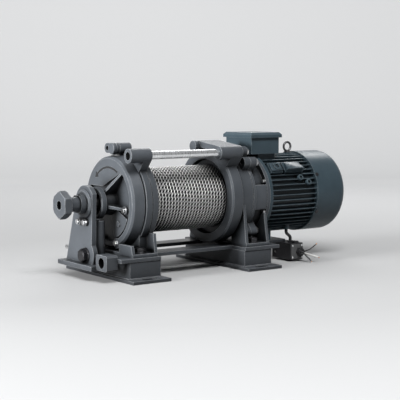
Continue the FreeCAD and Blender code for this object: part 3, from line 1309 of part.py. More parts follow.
def junction_fittings():
    """Screw cap and lead gland on top of the junction box."""
    cap = V(JUNCTION_X + BOX_CAP_OFFSET, JUNCTION_Y + BOX_CAP_INSET, BEAM_TOP)
    gland = lead_route()[-1] - V(0, 0, LEAD_GLAND_HEIGHT)
    return group([Part.makeCylinder(BOX_CAP_RADIUS, BOX_CAP_HEIGHT, cap),
                  Part.makeCylinder(LEAD_RADIUS + LEAD_GLAND_WALL, LEAD_GLAND_HEIGHT, gland)])


def supply_gland():
    """Screwed gland on the front of the junction box."""
    seat = gland_mouth() + V(0, GLAND_LENGTH, 0)
    nut = hexagon(GLAND_NUT_FLATS, GLAND_NUT, seat, V(0, -1, 0))
    return united(nut, Part.makeCylinder(GLAND_RADIUS, GLAND_LENGTH, seat, V(0, -1, 0)))


def gland_mouth():
    return V(JUNCTION_X + GLAND_OFFSET, JUNCTION_Y - GLAND_LENGTH, BEAM_TOP - GLAND_DROP)


def lead_route():
    """Points of the motor lead, from its boss under the frame down to the gland on the box."""
    top = V(LEAD_X, LEAD_Y, AXIS_HEIGHT - LEAD_BOSS_DROP)
    gland_top = BEAM_TOP + LEAD_GLAND_HEIGHT
    end = V(JUNCTION_X + LEAD_GLAND_OFFSET, JUNCTION_Y + LEAD_GLAND_INSET, gland_top)
    rise = (top.z - end.z) * LEAD_STRAIGHT
    return [top, top - V(0, 0, rise), end + V(0, 0, rise), end]


def supply_tail(route, radius):
    return cord([gland_mouth() + point for point in route], radius)


def cord(route, radius):
    """Round cord along straight runs joined by the largest tangent arcs that the runs allow."""
    edges = []
    here = route[0]
    for before, corner, after in zip(route, route[1:], route[2:]):
        a, b = (before - corner), (after - corner)
        run = BEND_SHARE * min(a.Length, b.Length)
        start, end = corner + a / a.Length * run, corner + b / b.Length * run
        turn = math.pi - a.getAngle(b)
        bend = run / math.tan(turn / 2)
        inward = (start + end) / 2 - corner
        middle = corner + inward / inward.Length * (math.hypot(run, bend) - bend)
        print("bend radius", round(bend, 1))
        edges += [Part.LineSegment(here, start).toShape(), Part.Arc(start, middle, end).toShape()]
        here = end
    edges.append(Part.LineSegment(here, route[-1]).toShape())
    path = Part.Wire(edges)
    section = Part.Wire([Part.makeCircle(radius, route[0], route[1] - route[0])])
    return path.makePipeShell([section], True, True)


def nodes():
    parts = {
        "gear_end_foot_plate": foot_plate(-BEAM_X), "motor_end_foot_plate": foot_plate(BEAM_X),
        "gear_end_beam": cross_beam(-BEAM_X), "motor_end_beam": cross_beam(BEAM_X),
        "gear_end_top_plate": top_plate(-1), "motor_end_top_plate": top_plate(1),
        "front_rail": rail(FRONT_RAIL_Y), "rear_rail": rail(REAR_RAIL_Y),
        "bracket_base_plate": bracket_base_plate(), "anchor_block": anchor_block(),
        "bearing_bracket": bearing_bracket(), "bracket_pivot_bolt": bracket_pivot_bolt(),
        "keeper_plate": keeper_plate(), "outboard_bearing": outboard_bearing(), "bearing_cap": bearing_cap(),
        "hand_drive_head": hand_drive_head(), "shaft_collar": shaft_collar(), "drive_shaft": drive_shaft(),
        "gear_cover": gear_cover(), "cover_bolts": cover_bolts(), "cover_bearing": cover_bearing(),
        "gear_housing": gear_housing(), "foot_bolts": foot_bolts(),
        "idler_pins": idler_pins(), "sun_gear": sun_gear(), "ring_gear": ring_gear(),
        "drum": drum(), "drum_bearings": drum_bearings(), "rope_winding": rope_winding(),
        "tie_rods": tie_rods(), "lifting_lug": lifting_lug(), "lug_bolt": lug_bolt(),
        "motor_end_housing": motor_end_housing(),
        "motor_adapter": motor_adapter(), "adapter_bolts": adapter_bolts(),
        "motor_frame": motor_frame(), "drive_endshield": drive_endshield(), "fan_endshield": fan_endshield(),
        "motor_bearings": motor_bearings(), "stator_core": stator_core(), "rotor": rotor(),
        "brake_magnet": brake_magnet(), "brake_disc": brake_disc(), "fan": fan(),
        "fan_cowl": fan_cowl(), "cowl_screws": cowl_screws(),
        "terminal_box": terminal_box(), "terminal_box_lid": terminal_box_lid(), "eye_bolt": eye_bolt(),
        "motor_support": motor_support(), "junction_box": junction_box(),
        "junction_fittings": junction_fittings(), "supply_gland": supply_gland(),
        "motor_lead": cord(lead_route(), LEAD_RADIUS),
        "black_tail": supply_tail(BLACK_TAIL, BLACK_TAIL_RADIUS),
        "white_tail": supply_tail(WHITE_TAIL, WHITE_TAIL_RADIUS),
        "grey_tail": supply_tail(GREY_TAIL, GREY_TAIL_RADIUS),
    }
    for number in range(IDLER_COUNT):
        parts[f"idler_gear_{number + 1}"] = idler_gear(number)
    return parts


os.makedirs("parts", exist_ok=True)
for name, shape in nodes().items():
    shape.exportStep(f"parts/{name}.step")
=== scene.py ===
"""Looks of the electric winch: paint, rope, fasteners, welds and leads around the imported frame."""
import json
import math
import random

import bmesh
import bpy
from mathutils import Matrix, Vector


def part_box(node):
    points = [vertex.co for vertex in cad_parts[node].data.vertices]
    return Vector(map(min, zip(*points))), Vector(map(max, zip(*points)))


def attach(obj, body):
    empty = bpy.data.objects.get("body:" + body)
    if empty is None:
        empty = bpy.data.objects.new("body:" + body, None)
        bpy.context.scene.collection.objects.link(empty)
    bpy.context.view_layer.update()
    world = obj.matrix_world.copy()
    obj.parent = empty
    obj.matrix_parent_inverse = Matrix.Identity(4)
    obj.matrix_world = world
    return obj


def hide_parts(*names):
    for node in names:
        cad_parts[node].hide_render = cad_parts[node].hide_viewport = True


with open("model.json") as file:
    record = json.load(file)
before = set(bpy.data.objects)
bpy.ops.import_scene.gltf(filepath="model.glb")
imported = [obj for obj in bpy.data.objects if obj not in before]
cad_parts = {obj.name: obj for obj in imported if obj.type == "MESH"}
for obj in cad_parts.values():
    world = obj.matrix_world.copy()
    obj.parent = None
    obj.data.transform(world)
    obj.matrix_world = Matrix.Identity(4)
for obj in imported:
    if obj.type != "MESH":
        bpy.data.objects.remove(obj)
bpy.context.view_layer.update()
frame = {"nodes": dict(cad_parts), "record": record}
NODES = frame["nodes"]
MM = 0.001

# Camera of the photograph, in metres, with its lens and sensor in millimetres
CAMERA_EYE = Vector((-1.5644, -2.2980, 0.4367))
CAMERA_AIM = Vector((0.07136, -0.01572, 0.17421))
CAMERA_LENS = 97.82
CAMERA_SENSOR = 36.0

# Axis of the drum and the motor, from the frame
shaft_low, shaft_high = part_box("drive_shaft")
AXIS_Y = (shaft_low.y + shaft_high.y) / 2
AXIS_Z = (shaft_low.z + shaft_high.z) / 2
DRUM_AXIS = Vector((0, AXIS_Y, AXIS_Z))

# Ways: the hand-drive head is left, and the photograph looks at the front
LEFT = Vector((-1, 0, 0))
RIGHT = Vector((1, 0, 0))
FRONT = Vector((0, -1, 0))
UP = Vector((0, 0, 1))


# Node trees: cosine between the face and its rounded normal where an edge begins and where it is full
EDGE_LEAN = (0.985, 0.80)
EDGE_SAMPLES = 6
SHADE_SAMPLES = 8


class Finish:
    """A material with one Principled shader and short calls for the nodes that feed it."""

    def __init__(self, name, colour, roughness, metallic=0.0):
        self.material = bpy.data.materials.new(name)
        self.material.use_nodes = True
        self.tree = self.material.node_tree
        self.shader = self.tree.nodes["Principled BSDF"]
        self.shader.inputs["Base Color"].default_value = (*colour, 1)
        self.shader.inputs["Roughness"].default_value = roughness
        self.shader.inputs["Metallic"].default_value = metallic
        self.place = self.tree.nodes.new("ShaderNodeTexCoord").outputs["Object"]

    def add(self, kind, settings=(), **sockets):
        """New node with its settings, and with values or links on its sockets."""
        node = self.tree.nodes.new("ShaderNode" + kind)
        for key, value in dict(settings).items():
            setattr(node, key, value)
        for key, value in sockets.items():
            self.feed(node.inputs[key.replace("_", " ")], value)
        return node

    def feed(self, socket, value):
        """Links a socket to another, or gives it a value."""
        if isinstance(value, bpy.types.NodeSocket):
            self.tree.links.new(value, socket)
        else:
            socket.default_value = value

    def noise(self, scale, detail=2.0, rough=0.5, place=None):
        """Cloudy pattern from 0 to 1 in the piece's own space."""
        return self.add("TexNoise", Vector=place or self.place, Scale=scale, Detail=detail,
                        Roughness=rough).outputs["Fac"]

    def stretched(self, x, y, z):
        """The piece's own space with a scale along each axis."""
        return self.add("Mapping", Vector=self.place, Scale=(x, y, z)).outputs["Vector"]

    def ramp(self, value, low, high, start=0.0, end=1.0):
        """Carries the range from low to high over to the range from start to end."""
        node = self.add("MapRange", Value=value)
        for name, number in (("From Min", low), ("From Max", high), ("To Min", start), ("To Max", end)):
            node.inputs[name].default_value = number
        return node.outputs["Result"]

    def maths(self, operation, a, b):
        """One sum on two values."""
        node = self.tree.nodes.new("ShaderNodeMath")
        node.operation = operation
        self.feed(node.inputs[0], a)
        self.feed(node.inputs[1], b)
        return node.outputs[0]

    def mix(self, share, first, second):
        """Colour between two colours."""
        node = self.tree.nodes.new("ShaderNodeMix")
        node.data_type = "RGBA"
        self.feed(node.inputs[0], share)
        for socket, value in ((node.inputs[6], first), (node.inputs[7], second)):
            self.feed(socket, value if isinstance(value, bpy.types.NodeSocket) else (*value, 1))
        return node.outputs[2]

    def edges(self, radius):
        """Mask that is 1 along outer edges, with the rounded normal that found them."""
        rounded = self.add("Bevel", settings={"samples": EDGE_SAMPLES}, Radius=radius).outputs["Normal"]
        flat = self.tree.nodes.new("ShaderNodeNewGeometry").outputs["Normal"]
        dot = self.tree.nodes.new("ShaderNodeVectorMath")
        dot.operation = "DOT_PRODUCT"
        self.feed(dot.inputs[0], rounded)
        self.feed(dot.inputs[1], flat)
        return self.ramp(dot.outputs["Value"], *EDGE_LEAN), rounded

    def crevices(self, reach, low, high, local=True):
        """Mask that is 1 on open faces and falls to 0 in grooves and inner corners."""
        settings = {"samples": SHADE_SAMPLES, "only_local": local}
        open_sky = self.add("AmbientOcclusion", settings, Distance=reach).outputs["AO"]
        return self.ramp(open_sky, low, high)

    def bump(self, height, depth, normal=None):
        """Normal of a relief, on top of another normal where one is given."""
        node = self.add("Bump", Height=height, Distance=depth, Strength=1.0)
        if normal is not None:
            self.feed(node.inputs["Normal"], normal)
        return node.outputs["Normal"]

    def set(self, **sockets):
        """Values or links on the shader's own sockets."""
        for key, value in sockets.items():
            self.feed(self.shader.inputs[key.replace("_", " ")], value)
        return self


# Range in which most of a cloudy pattern lies
CLOUD = (0.3, 0.7)


def toned(colour, share):
    """Darker or lighter form of a colour."""
    return tuple(share * part for part in colour)


# Paint and mouldings: painted shade in grooves and corners fades out between two shares of open sky; scales
# are in waves per metre
PAINT_GLOSS = 0.25
MOTTLE_SCALE = 9.0
MOTTLE_DARK = 0.82
MOTTLE_LIGHT = 1.16
WEAR_SCALE = 70.0
MOULD_DARK = 0.8
MOULD_LIGHT = 1.3
PAINTED_SHADE_TONE = 0.07
GROOVE_SHADE = (0.42, 0.96)
SHELTER_SHADE = (0.22, 0.80)
SHELTER_REACH = 0.11


def painted(name, colour, edge_wear_and_highlight, roughness, grain, grain_depth, edge, crevice, sheltered=False):
    """Sprayed paint: soft mottling, fine grain, outer edges lightened as wear and painted highlight, and
    painted shade in grooves, corners and, where sheltered, near other parts.
    """
    f = Finish(name, colour, roughness)
    f.shader.inputs["Specular IOR Level"].default_value = PAINT_GLOSS
    cloud = f.noise(MOTTLE_SCALE, detail=4.0, rough=0.6)
    fine = f.noise(grain, detail=3.0, rough=0.6)
    mask, rounded = f.edges(edge)
    # Painted shade: the colour darkens in grooves and inner corners, and near other parts where sheltered, as
    # less open sky reaches the face
    open_face = f.crevices(crevice, *GROOVE_SHADE)
    if sheltered:
        open_face = f.maths("MULTIPLY", open_face, f.crevices(SHELTER_REACH, *SHELTER_SHADE, local=False))
    patchy = f.ramp(f.noise(WEAR_SCALE, detail=3.0, rough=0.65), 0.30, 0.65, start=0.45)
    # Outer edges lightened: partly paint wear, partly a painted highlight along the edges
    rubbed_and_highlit = f.maths("MULTIPLY", f.maths("MULTIPLY", mask, patchy), open_face)
    tone = f.mix(f.ramp(cloud, *CLOUD), toned(colour, MOTTLE_DARK), toned(colour, MOTTLE_LIGHT))
    # Painted shade mixed into the colour where open sky is blocked
    tone = f.mix(open_face, toned(colour, PAINTED_SHADE_TONE), tone)
    tone = f.mix(rubbed_and_highlit, tone, edge_wear_and_highlight)
    gloss = f.ramp(cloud, 0.25, 0.75, start=roughness - 0.07, end=roughness + 0.09)
    return f.set(Base_Color=tone, Roughness=gloss, Normal=f.bump(fine, grain_depth, rounded)).material


def metal(name, colour, dull, roughness, brushing, edge, spots=40.0, scratch=0.00002):
    """Bare or plated steel with fine machining lines and duller patches."""
    f = Finish(name, colour, roughness, metallic=1.0)
    lines = f.noise(1.0, detail=3.0, rough=0.6, place=f.stretched(*brushing))
    patches = f.ramp(f.noise(spots, detail=3.0, rough=0.6), 0.35, 0.7)
    rounded = f.edges(edge)[1]
    tone = f.mix(patches, colour, dull)
    gloss = f.ramp(lines, *CLOUD, start=roughness - 0.06, end=roughness + 0.10)
    return f.set(Base_Color=tone, Roughness=gloss, Normal=f.bump(lines, scratch, rounded)).material


def moulded(name, colour, roughness, grain=1400.0, depth=0.00006, edge=0.0008, clouds=30.0):
    """Moulded plastic or rubber with a fine spark-eroded skin."""
    f = Finish(name, colour, roughness)
    skin = f.noise(grain)
    cloud = f.noise(clouds, detail=3.0, rough=0.6)
    tone = f.mix(f.ramp(cloud, *CLOUD), toned(colour, MOULD_DARK), toned(colour, MOULD_LIGHT))
    gloss = f.ramp(cloud, *CLOUD, start=roughness - 0.06, end=roughness + 0.08)
    return f.set(Base_Color=tone, Roughness=gloss, Normal=f.bump(skin, depth, f.edges(edge)[1])).material


# Rope wire: tones of its parts, where on a strand the painted highlight of its crown begins and is full, and
# where open sky ends its painted shadow
WIRE_BRIGHT = (0.92, 0.92, 0.91)
WIRE_PLAIN = (0.42, 0.42, 0.40)
WIRE_DULL = (0.12, 0.12, 0.11)
WIRE_DULL_SHARE = 0.20
WIRE_DULL_SCALE = 120.0
WIRE_VALLEY_SHADE = (0.003, 0.003, 0.003)
WIRE_SHADOW = (0.006, 0.006, 0.006)
WIRE_CROWN = (0.42, 0.60)
WIRE_SHADE = (0.28, 0.74)
WIRE_GRAIN = 2600.0
WIRE_GRAIN_DEPTH = 0.0001


def rope_wire():
    """Galvanised rope: painted highlights on the strand crowns, painted shade in the valleys, on the inner
    half of each turn and near other parts, and fine wires along each strand.
    """
    f = Finish("galvanised_rope", WIRE_PLAIN, 0.46, metallic=0.50)
    crown = f.add("Attribute", settings={"attribute_name": "crown"}).outputs["Fac"]
    patches = f.ramp(f.noise(WIRE_DULL_SCALE, detail=3.0, rough=0.7), *CLOUD)
    wires = f.noise(WIRE_GRAIN, detail=1.0)
    # Painted highlight on the strand crowns, painted shade in the valleys and on the inner half of each turn
    tone = f.mix(f.ramp(crown, *WIRE_CROWN), WIRE_VALLEY_SHADE, WIRE_BRIGHT)
    tone = f.mix(f.maths("MULTIPLY", patches, WIRE_DULL_SHARE), tone, WIRE_DULL)
    # Painted shadow where other parts and turns take away open sky
    tone = f.mix(f.crevices(SHELTER_REACH, *WIRE_SHADE, local=False), WIRE_SHADOW, tone)
    gloss = f.ramp(crown, 0.2, 0.9, start=0.60, end=0.34)
    return f.set(Base_Color=tone, Roughness=gloss, Normal=f.bump(wires, WIRE_GRAIN_DEPTH)).material


# Finishes: grain and brushing in waves per metre, depths and edges in metres; the lighter edge colour of the
# paints is both wear and painted highlight
CASTING = painted("charcoal_casting_paint", (0.090, 0.100, 0.113), edge_wear_and_highlight=(0.46, 0.48, 0.50), roughness=0.38,
                  grain=520.0, grain_depth=0.00020, edge=0.0030, crevice=0.040, sheltered=True)
BASE = painted("charcoal_base_paint", (0.082, 0.090, 0.101), edge_wear_and_highlight=(0.46, 0.48, 0.50), roughness=0.40,
               grain=900.0, grain_depth=0.00008, edge=0.0024, crevice=0.036, sheltered=True)
MOTOR = painted("slate_motor_paint", (0.056, 0.084, 0.103), edge_wear_and_highlight=(0.26, 0.32, 0.35), roughness=0.32,
                grain=800.0, grain_depth=0.00008, edge=0.0016, crevice=0.012)
BLACK_STEEL = metal("black_oxide_steel", (0.075, 0.075, 0.080), dull=(0.045, 0.045, 0.048), roughness=0.42,
                    brushing=(300, 300, 300), edge=0.0008)
ZINC = metal("bright_zinc", (0.66, 0.67, 0.68), dull=(0.46, 0.46, 0.46), roughness=0.30,
             brushing=(500, 500, 500), edge=0.0006)
STEEL = metal("machined_steel", (0.50, 0.51, 0.52), dull=(0.36, 0.36, 0.37), roughness=0.30,
              brushing=(900, 60, 60), edge=0.0006)
POLISHED = metal("polished_bar", (0.90, 0.91, 0.92), dull=(0.80, 0.81, 0.82), roughness=0.30,
                 brushing=(700, 30, 30), edge=0.0006)
FORGED = metal("dull_forged_steel", (0.20, 0.20, 0.21), dull=(0.12, 0.12, 0.12), roughness=0.38,
               brushing=(300, 300, 300), edge=0.0006)
COPPER = metal("bare_copper", (0.72, 0.40, 0.24), dull=(0.45, 0.24, 0.15), roughness=0.30,
               brushing=(600, 600, 600), edge=0.0003)
PLASTIC = moulded("black_moulding", (0.018, 0.018, 0.020), 0.48)
GREY_MOULDING = moulded("grey_moulding", (0.100, 0.102, 0.104), 0.50)
BLACK_RUBBER = moulded("black_sheath", (0.016, 0.016, 0.017), 0.52)
WHITE_SHEATH = moulded("white_sheath", (0.60, 0.60, 0.58), 0.46)
GREY_SHEATH = moulded("dark_grey_sheath", (0.075, 0.076, 0.080), 0.48)
# Black sheet for the engraved arrow: painted shade standing in for the shade of its groove
ARROW_SHADE_PAINT = moulded("arrow_groove_shade_paint", (0.012, 0.012, 0.013), 0.55)
ROPE = rope_wire()

SLOT_FINISH = {
    "base_paint": BASE,
    "casting_paint": CASTING,
    "motor_paint": MOTOR,
    "black_bolt_steel": BLACK_STEEL,
    "zinc_bolt_steel": ZINC,
    "gear_steel": STEEL,
    "polished_rod": POLISHED,
    "rope_steel": ROPE,
    "black_plastic": PLASTIC,
    "lead_rubber": BLACK_RUBBER,
    "white_lead": WHITE_SHEATH,
    "grey_lead": GREY_SHEATH,
}
NODE_FINISH = {"eye_bolt": FORGED}


def dress_frame():
    """Every CAD node takes the finish of its material slot, apart from those with a finish of their own."""
    for part in frame["record"]["subparts"]:
        mesh = NODES[part["node"]].data
        mesh.materials.clear()
        mesh.materials.append(NODE_FINISH.get(part["node"]) or SLOT_FINISH[part["material_slot"]])


# Pieces

def piece(name, mesh_or_curve, finish, body, replaced=()):
    """New object that rides on a body and takes a finish."""
    made = bpy.data.objects.new(name, mesh_or_curve)
    bpy.context.scene.collection.objects.link(made)
    made.data.materials.append(finish)
    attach(made, body)
    if replaced:
        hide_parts(*replaced)
    return made


def finished(bm, name, smooth=40.0):
    """Mesh from a bmesh, with outward faces and edges smoothed below an angle."""
    bmesh.ops.recalc_face_normals(bm, faces=bm.faces)
    mesh = bpy.data.meshes.new(name)
    bm.to_mesh(mesh)
    bm.free()
    mesh.shade_smooth()
    mesh.set_sharp_from_angle(angle=math.radians(smooth))
    return mesh


# Angle, in degrees, above which an edge of a small piece stays sharp
CRISP = 30.0


def fitting(name, bm, finish, replaced=()):
    """Small crisp piece that is fixed to the frame."""
    return piece(name, finished(bm, name, CRISP), finish, "frame", replaced)


# Rope on the drum, in metres: parallel turns that cross over to the next groove low at the rear
rope_low, rope_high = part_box("rope_winding")
ROPE_LENGTH = rope_high.x - rope_low.x
ROPE_GROOVE = 0.0092
ROPE_TURNS = round(ROPE_LENGTH / ROPE_GROOVE)
ROPE_OUTER = (rope_high.z - rope_low.z) / 2
ROPE_PITCH = ROPE_LENGTH / ROPE_TURNS
ROPE_DIAMETER = 0.97 * ROPE_PITCH
STRANDS = 4
STRAND_RADIUS = 0.40 * ROPE_DIAMETER / 2
STRAND_ARC = (-110, -70, -35, 0, 35, 70, 110)
STEPS_PER_TURN = 208
LAYS_PER_TURN = 13
CROSSOVER_SHARE = 0.16
CROSSOVER_END = math.radians(160)
TURN_DROP = 0.07 * ROPE_DIAMETER
wander = random.Random(7)
TURN_LIFTS = [wander.uniform(-TURN_DROP, 0.0) for _ in range(ROPE_TURNS + 1)]

# Painted shade on the rope, by shares of its diameter: where strands meet, and how its flanks fall away
VALLEY = 0.30
FLANK_SHADE = 2.4
FLANK_START = 0.06

# Layer under the top turns: place along a turn and drop of its bead, as shares of pitch and diameter
LOWER_BEAD = ((0.0, 0.30), (0.25, 0.06), (0.5, 0.0), (0.75, 0.06))
LOWER_DROP = 0.86 * ROPE_DIAMETER
LOWER_STEPS = 72
# Crown height of the whole lower layer, below the crown's range, so that it is painted in the valley shade
LOWER_CROWN = 0.12
MERGE = 1e-6


def strand_section():
    """Cross-section of the rope: round strands side by side on a circle."""
    curve = bpy.data.curves.new("rope_section", "CURVE")
    spline = curve.splines.new("POLY")
    spline.points.add(STRANDS * len(STRAND_ARC) - 1)
    spline.use_cyclic_u = True
    circle = ROPE_DIAMETER / 2 - STRAND_RADIUS
    for number, point in enumerate(spline.points):
        strand, step = divmod(number, len(STRAND_ARC))
        middle = 2 * math.pi * strand / STRANDS
        angle = middle + math.radians(STRAND_ARC[step])
        point.co = (circle * math.cos(middle) + STRAND_RADIUS * math.cos(angle),
                    circle * math.sin(middle) + STRAND_RADIUS * math.sin(angle), 0, 1)
    return bpy.data.objects.new("rope_section", curve)


def crossover(share):
    """How far a turn has moved over to the next groove, from 0 to 1, at a share of the turn."""
    step = max(0.0, share - 1 + CROSSOVER_SHARE) / CROSSOVER_SHARE
    return step * step * (3 - 2 * step)


def turn_middle(turn, share):
    """Place along the drum and distance from its axis of the middle of a turn."""
    moved = crossover(share) if turn < ROPE_TURNS - 1 else 0.0
    lift = TURN_LIFTS[turn] * (1 - share) + TURN_LIFTS[turn + 1] * share
    return rope_low.x + ROPE_PITCH * (turn + 0.5 + moved), ROPE_OUTER - ROPE_DIAMETER / 2 + lift


def rope_line(first, last):
    """Middle line of some turns of the top layer, with the small wander of a rope laid under load."""
    points = []
    for step in range(first * STEPS_PER_TURN, last * STEPS_PER_TURN + 1):
        turn = min(step // STEPS_PER_TURN, ROPE_TURNS - 1)
        share = step / STEPS_PER_TURN - turn
        x, away = turn_middle(turn, share)
        angle = CROSSOVER_END + 2 * math.pi * share
        points.append(DRUM_AXIS + Vector((x, away * math.sin(angle), away * math.cos(angle))))
    return points


def crown_height(place):
    """1 on the outer crown of a strand, falling to 0 between strands and between turns: it places the painted
    highlight and painted shade of the rope.
    """
    angle = math.atan2(place.y - AXIS_Y, place.z - AXIS_Z)
    away = math.hypot(place.y - AXIS_Y, place.z - AXIS_Z)
    share = (angle - CROSSOVER_END) / (2 * math.pi) % 1
    turn = round((place.x - rope_low.x) / ROPE_PITCH - 0.5 - crossover(share))
    x, middle = turn_middle(min(max(turn, 0), ROPE_TURNS - 1), share)
    strand = (math.hypot(place.x - x, away - middle) / ROPE_DIAMETER - VALLEY) / (0.5 - VALLEY)
    flank = FLANK_SHADE * (away - middle) / ROPE_DIAMETER - FLANK_START
    return strand * min(1.0, max(0.0, flank))


def keep_crown(mesh, heights):
    """Keeps the crown height of each vertex, which places the painted highlight and shade of the rope."""
    mesh.attributes.new("crown", "FLOAT", "POINT").data.foreach_set("value", heights)


def swept_rope(name, points):
    """Stranded rope along a line, with the height of each strand kept for its painted highlight and shade."""
    curve = bpy.data.curves.new(name, "CURVE")
    curve.dimensions = "3D"
    curve.twist_mode = "MINIMUM"
    spline = curve.splines.new("POLY")
    spline.points.add(len(points) - 1)
    for number, (point, place) in enumerate(zip(spline.points, points)):
        point.co = (*place, 1)
        point.tilt = 2 * math.pi * (LAYS_PER_TURN * number / STEPS_PER_TURN % 1)
    curve.bevel_mode = "OBJECT"
    curve.bevel_object = strand_section()
    curve.use_fill_caps = True
    line = bpy.data.objects.new(name, curve)
    bpy.context.scene.collection.objects.link(line)
    bpy.context.view_layer.update()
    mesh = bpy.data.meshes.new_from_object(line.evaluated_get(bpy.context.evaluated_depsgraph_get()))
    bpy.data.objects.remove(line)
    bpy.data.objects.remove(curve.bevel_object)
    keep_crown(mesh, [crown_height(vertex.co) for vertex in mesh.vertices])
    mesh.shade_smooth()
    return mesh


def lower_layer():
    """Rope under the top layer: a turned sleeve with one round bead per turn, painted near black as shade all
    over.
    """
    bm = bmesh.new()
    crown = ROPE_OUTER - LOWER_DROP
    last = None
    for number in range(ROPE_TURNS):
        for share, drop in LOWER_BEAD:
            x = rope_low.x + ROPE_PITCH * (number + share)
            vertex = bm.verts.new((x, AXIS_Y, AXIS_Z + crown - drop * ROPE_DIAMETER))
            if last:
                bm.edges.new((last, vertex))
            last = vertex
    bmesh.ops.spin(bm, geom=bm.verts[:] + bm.edges[:], cent=DRUM_AXIS, axis=(1, 0, 0),
                   angle=2 * math.pi, steps=LOWER_STEPS, use_merge=True)
    bmesh.ops.remove_doubles(bm, verts=bm.verts, dist=MERGE)
    mesh = finished(bm, "rope_lower_layer")
    keep_crown(mesh, [LOWER_CROWN] * len(mesh.vertices))
    return mesh


def make_rope():
    """Top layer in two halves, so that neither mesh grows too large, over the layer below."""
    half = ROPE_TURNS // 2
    for name, first, last in (("wire_rope_gear_half", 0, half), ("wire_rope_motor_half", half, ROPE_TURNS)):
        mesh = swept_rope(name, rope_line(first, last))
        piece(name, mesh, ROPE, "drum", ["rope_winding"] if first == 0 else ())
    piece("rope_lower_layer", lower_layer(), ROPE, "drum")


# Supply leads: the routes of the CAD tubes, in millimetres from the gland's mouth
gland_low, gland_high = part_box("supply_gland")
GLAND_MOUTH = Vector(((gland_low.x + gland_high.x) / 2, gland_low.y, (gland_low.z + gland_high.z) / 2))
LEADS = {
    "black_tail": (BLACK_RUBBER, "lead_rubber", 0.043, 0.0030,
                   ((3, 0, 3), (3, -9, 3), (11, -15, 7), (22, -19, 14), (30, -22, 21))),
    "white_tail": (WHITE_SHEATH, "white_lead", 0.047, 0.0050,
                   ((0, 0, -2), (0, -9, -2), (8, -17, -5), (19, -27, -9), (27, -35, -12.5))),
    "grey_tail": (GREY_SHEATH, "grey_lead", 0.042, 0.0044,
                  ((-4, 0, 2), (-4, -9, 2), (-4, -18, -5), (0, -26, -13), (4, -32, -21))),
}
LEAD_STEPS = 8
LEAD_ROUNDING = 4

# Bare ends of the leads, in metres
BARE_LENGTH = 0.004
BARE_SUNK = 0.0006
BARE_WIRES = 6
BARE_WIRE_RADIUS = 0.00038
BARE_WIRE_TIP = 0.00034
BARE_WIRE_SIDES = 8
BARE_FAN_RADIUS = 0.0008
BARE_FAN_LEAN = 0.12


def bare_end(name, end, way):
    """Stripped conductor: copper wires that fan out a little round a straight one."""
    bm = bmesh.new()
    turn = way.to_track_quat("Z", "Y").to_matrix().to_4x4()
    lift = Matrix.Translation((0, 0, BARE_LENGTH / 2 - BARE_SUNK))
    fan = []
    for number in range(BARE_WIRES):
        angle = 2 * math.pi * number / BARE_WIRES
        out = Vector((math.cos(angle), math.sin(angle), 0))
        lean = Matrix.Rotation(BARE_FAN_LEAN, 4, UP.cross(out))
        fan.append(Matrix.Translation(BARE_FAN_RADIUS * out) @ lean)
    for wire in fan + [Matrix()]:
        bmesh.ops.create_cone(bm, cap_ends=True, segments=BARE_WIRE_SIDES, radius1=BARE_WIRE_RADIUS,
                              radius2=BARE_WIRE_TIP, depth=BARE_LENGTH,
                              matrix=Matrix.Translation(end) @ turn @ wire @ lift)
    return piece(name + "_copper", finished(bm, name + "_copper"), COPPER, "frame")


def make_leads():
    """Supply leads as cords, each with its bare end."""
    for name, (finish, slot, length, diameter, route) in LEADS.items():
        curve = bpy.data.curves.new(name + "_lead", "CURVE")
        curve.dimensions = "3D"
        spline = curve.splines.new("NURBS")
        spline.points.add(len(route) - 1)
        places = [GLAND_MOUTH + MM * Vector(point) for point in route]
        for point, place in zip(spline.points, places):
            point.co = (*place, 1)
        spline.order_u = 3
        spline.use_endpoint_u = True
        spline.resolution_u = LEAD_STEPS
        curve.bevel_depth = diameter / 2
        curve.bevel_resolution = LEAD_ROUNDING
        curve.use_fill_caps = True
        lead = piece(name + "_lead", curve, finish, "frame", [name])
        copper = bare_end(name, places[-1], (places[-1] - places[-2]).normalized())


# Fasteners: flats, height of head, radius and thickness of washer, in millimetres
FASTENERS = {
    "foot_bolt": (24.0, 10.0, 15.0, 3.0),
    "pivot_bolt": (30.0, 12.0, 19.0, 3.5),
    "cover_bolt": (13.0, 5.5, 8.0, 1.5),
    "flange_bolt": (10.0, 5.0, 5.5, 1.0),
    "joint_bolt": (17.0, 8.0, 10.0, 2.0),
}
JOINT_BOLT_WIDTH = 0.015
BOLT_TURN = 37.0

# Shares of a bolt: chamfer of its head's height, chamfer's radii of its flats, bevel of its washer
HEAD_CHAMFER = 0.16
CHAMFER_FOOT = 0.495
CHAMFER_TOP = 0.43
WASHER_BEVEL = 0.3
WASHER_TOP = 0.95
HEAD_STEPS = 24
WASHER_STEPS = 32


def solids_of(node):
    """Boxes round the separate solids of a CAD node, in the order of their places."""
    bm = bmesh.new()
    bm.from_mesh(NODES[node].data)
    bm.transform(NODES[node].matrix_world)
    bmesh.ops.remove_doubles(bm, verts=bm.verts, dist=MERGE)
    left = set(bm.verts)
    boxes = []
    while left:
        found = [left.pop()]
        for vertex in found:
            near = {edge.other_vert(vertex) for edge in vertex.link_edges} & left
            left -= near
            found.extend(near)
        low = Vector([min(vertex.co[axis] for vertex in found) for axis in range(3)])
        high = Vector([max(vertex.co[axis] for vertex in found) for axis in range(3)])
        boxes.append((low, high))
    bm.free()
    return sorted(boxes, key=lambda box: [round(place, 4) for place in box[0]])


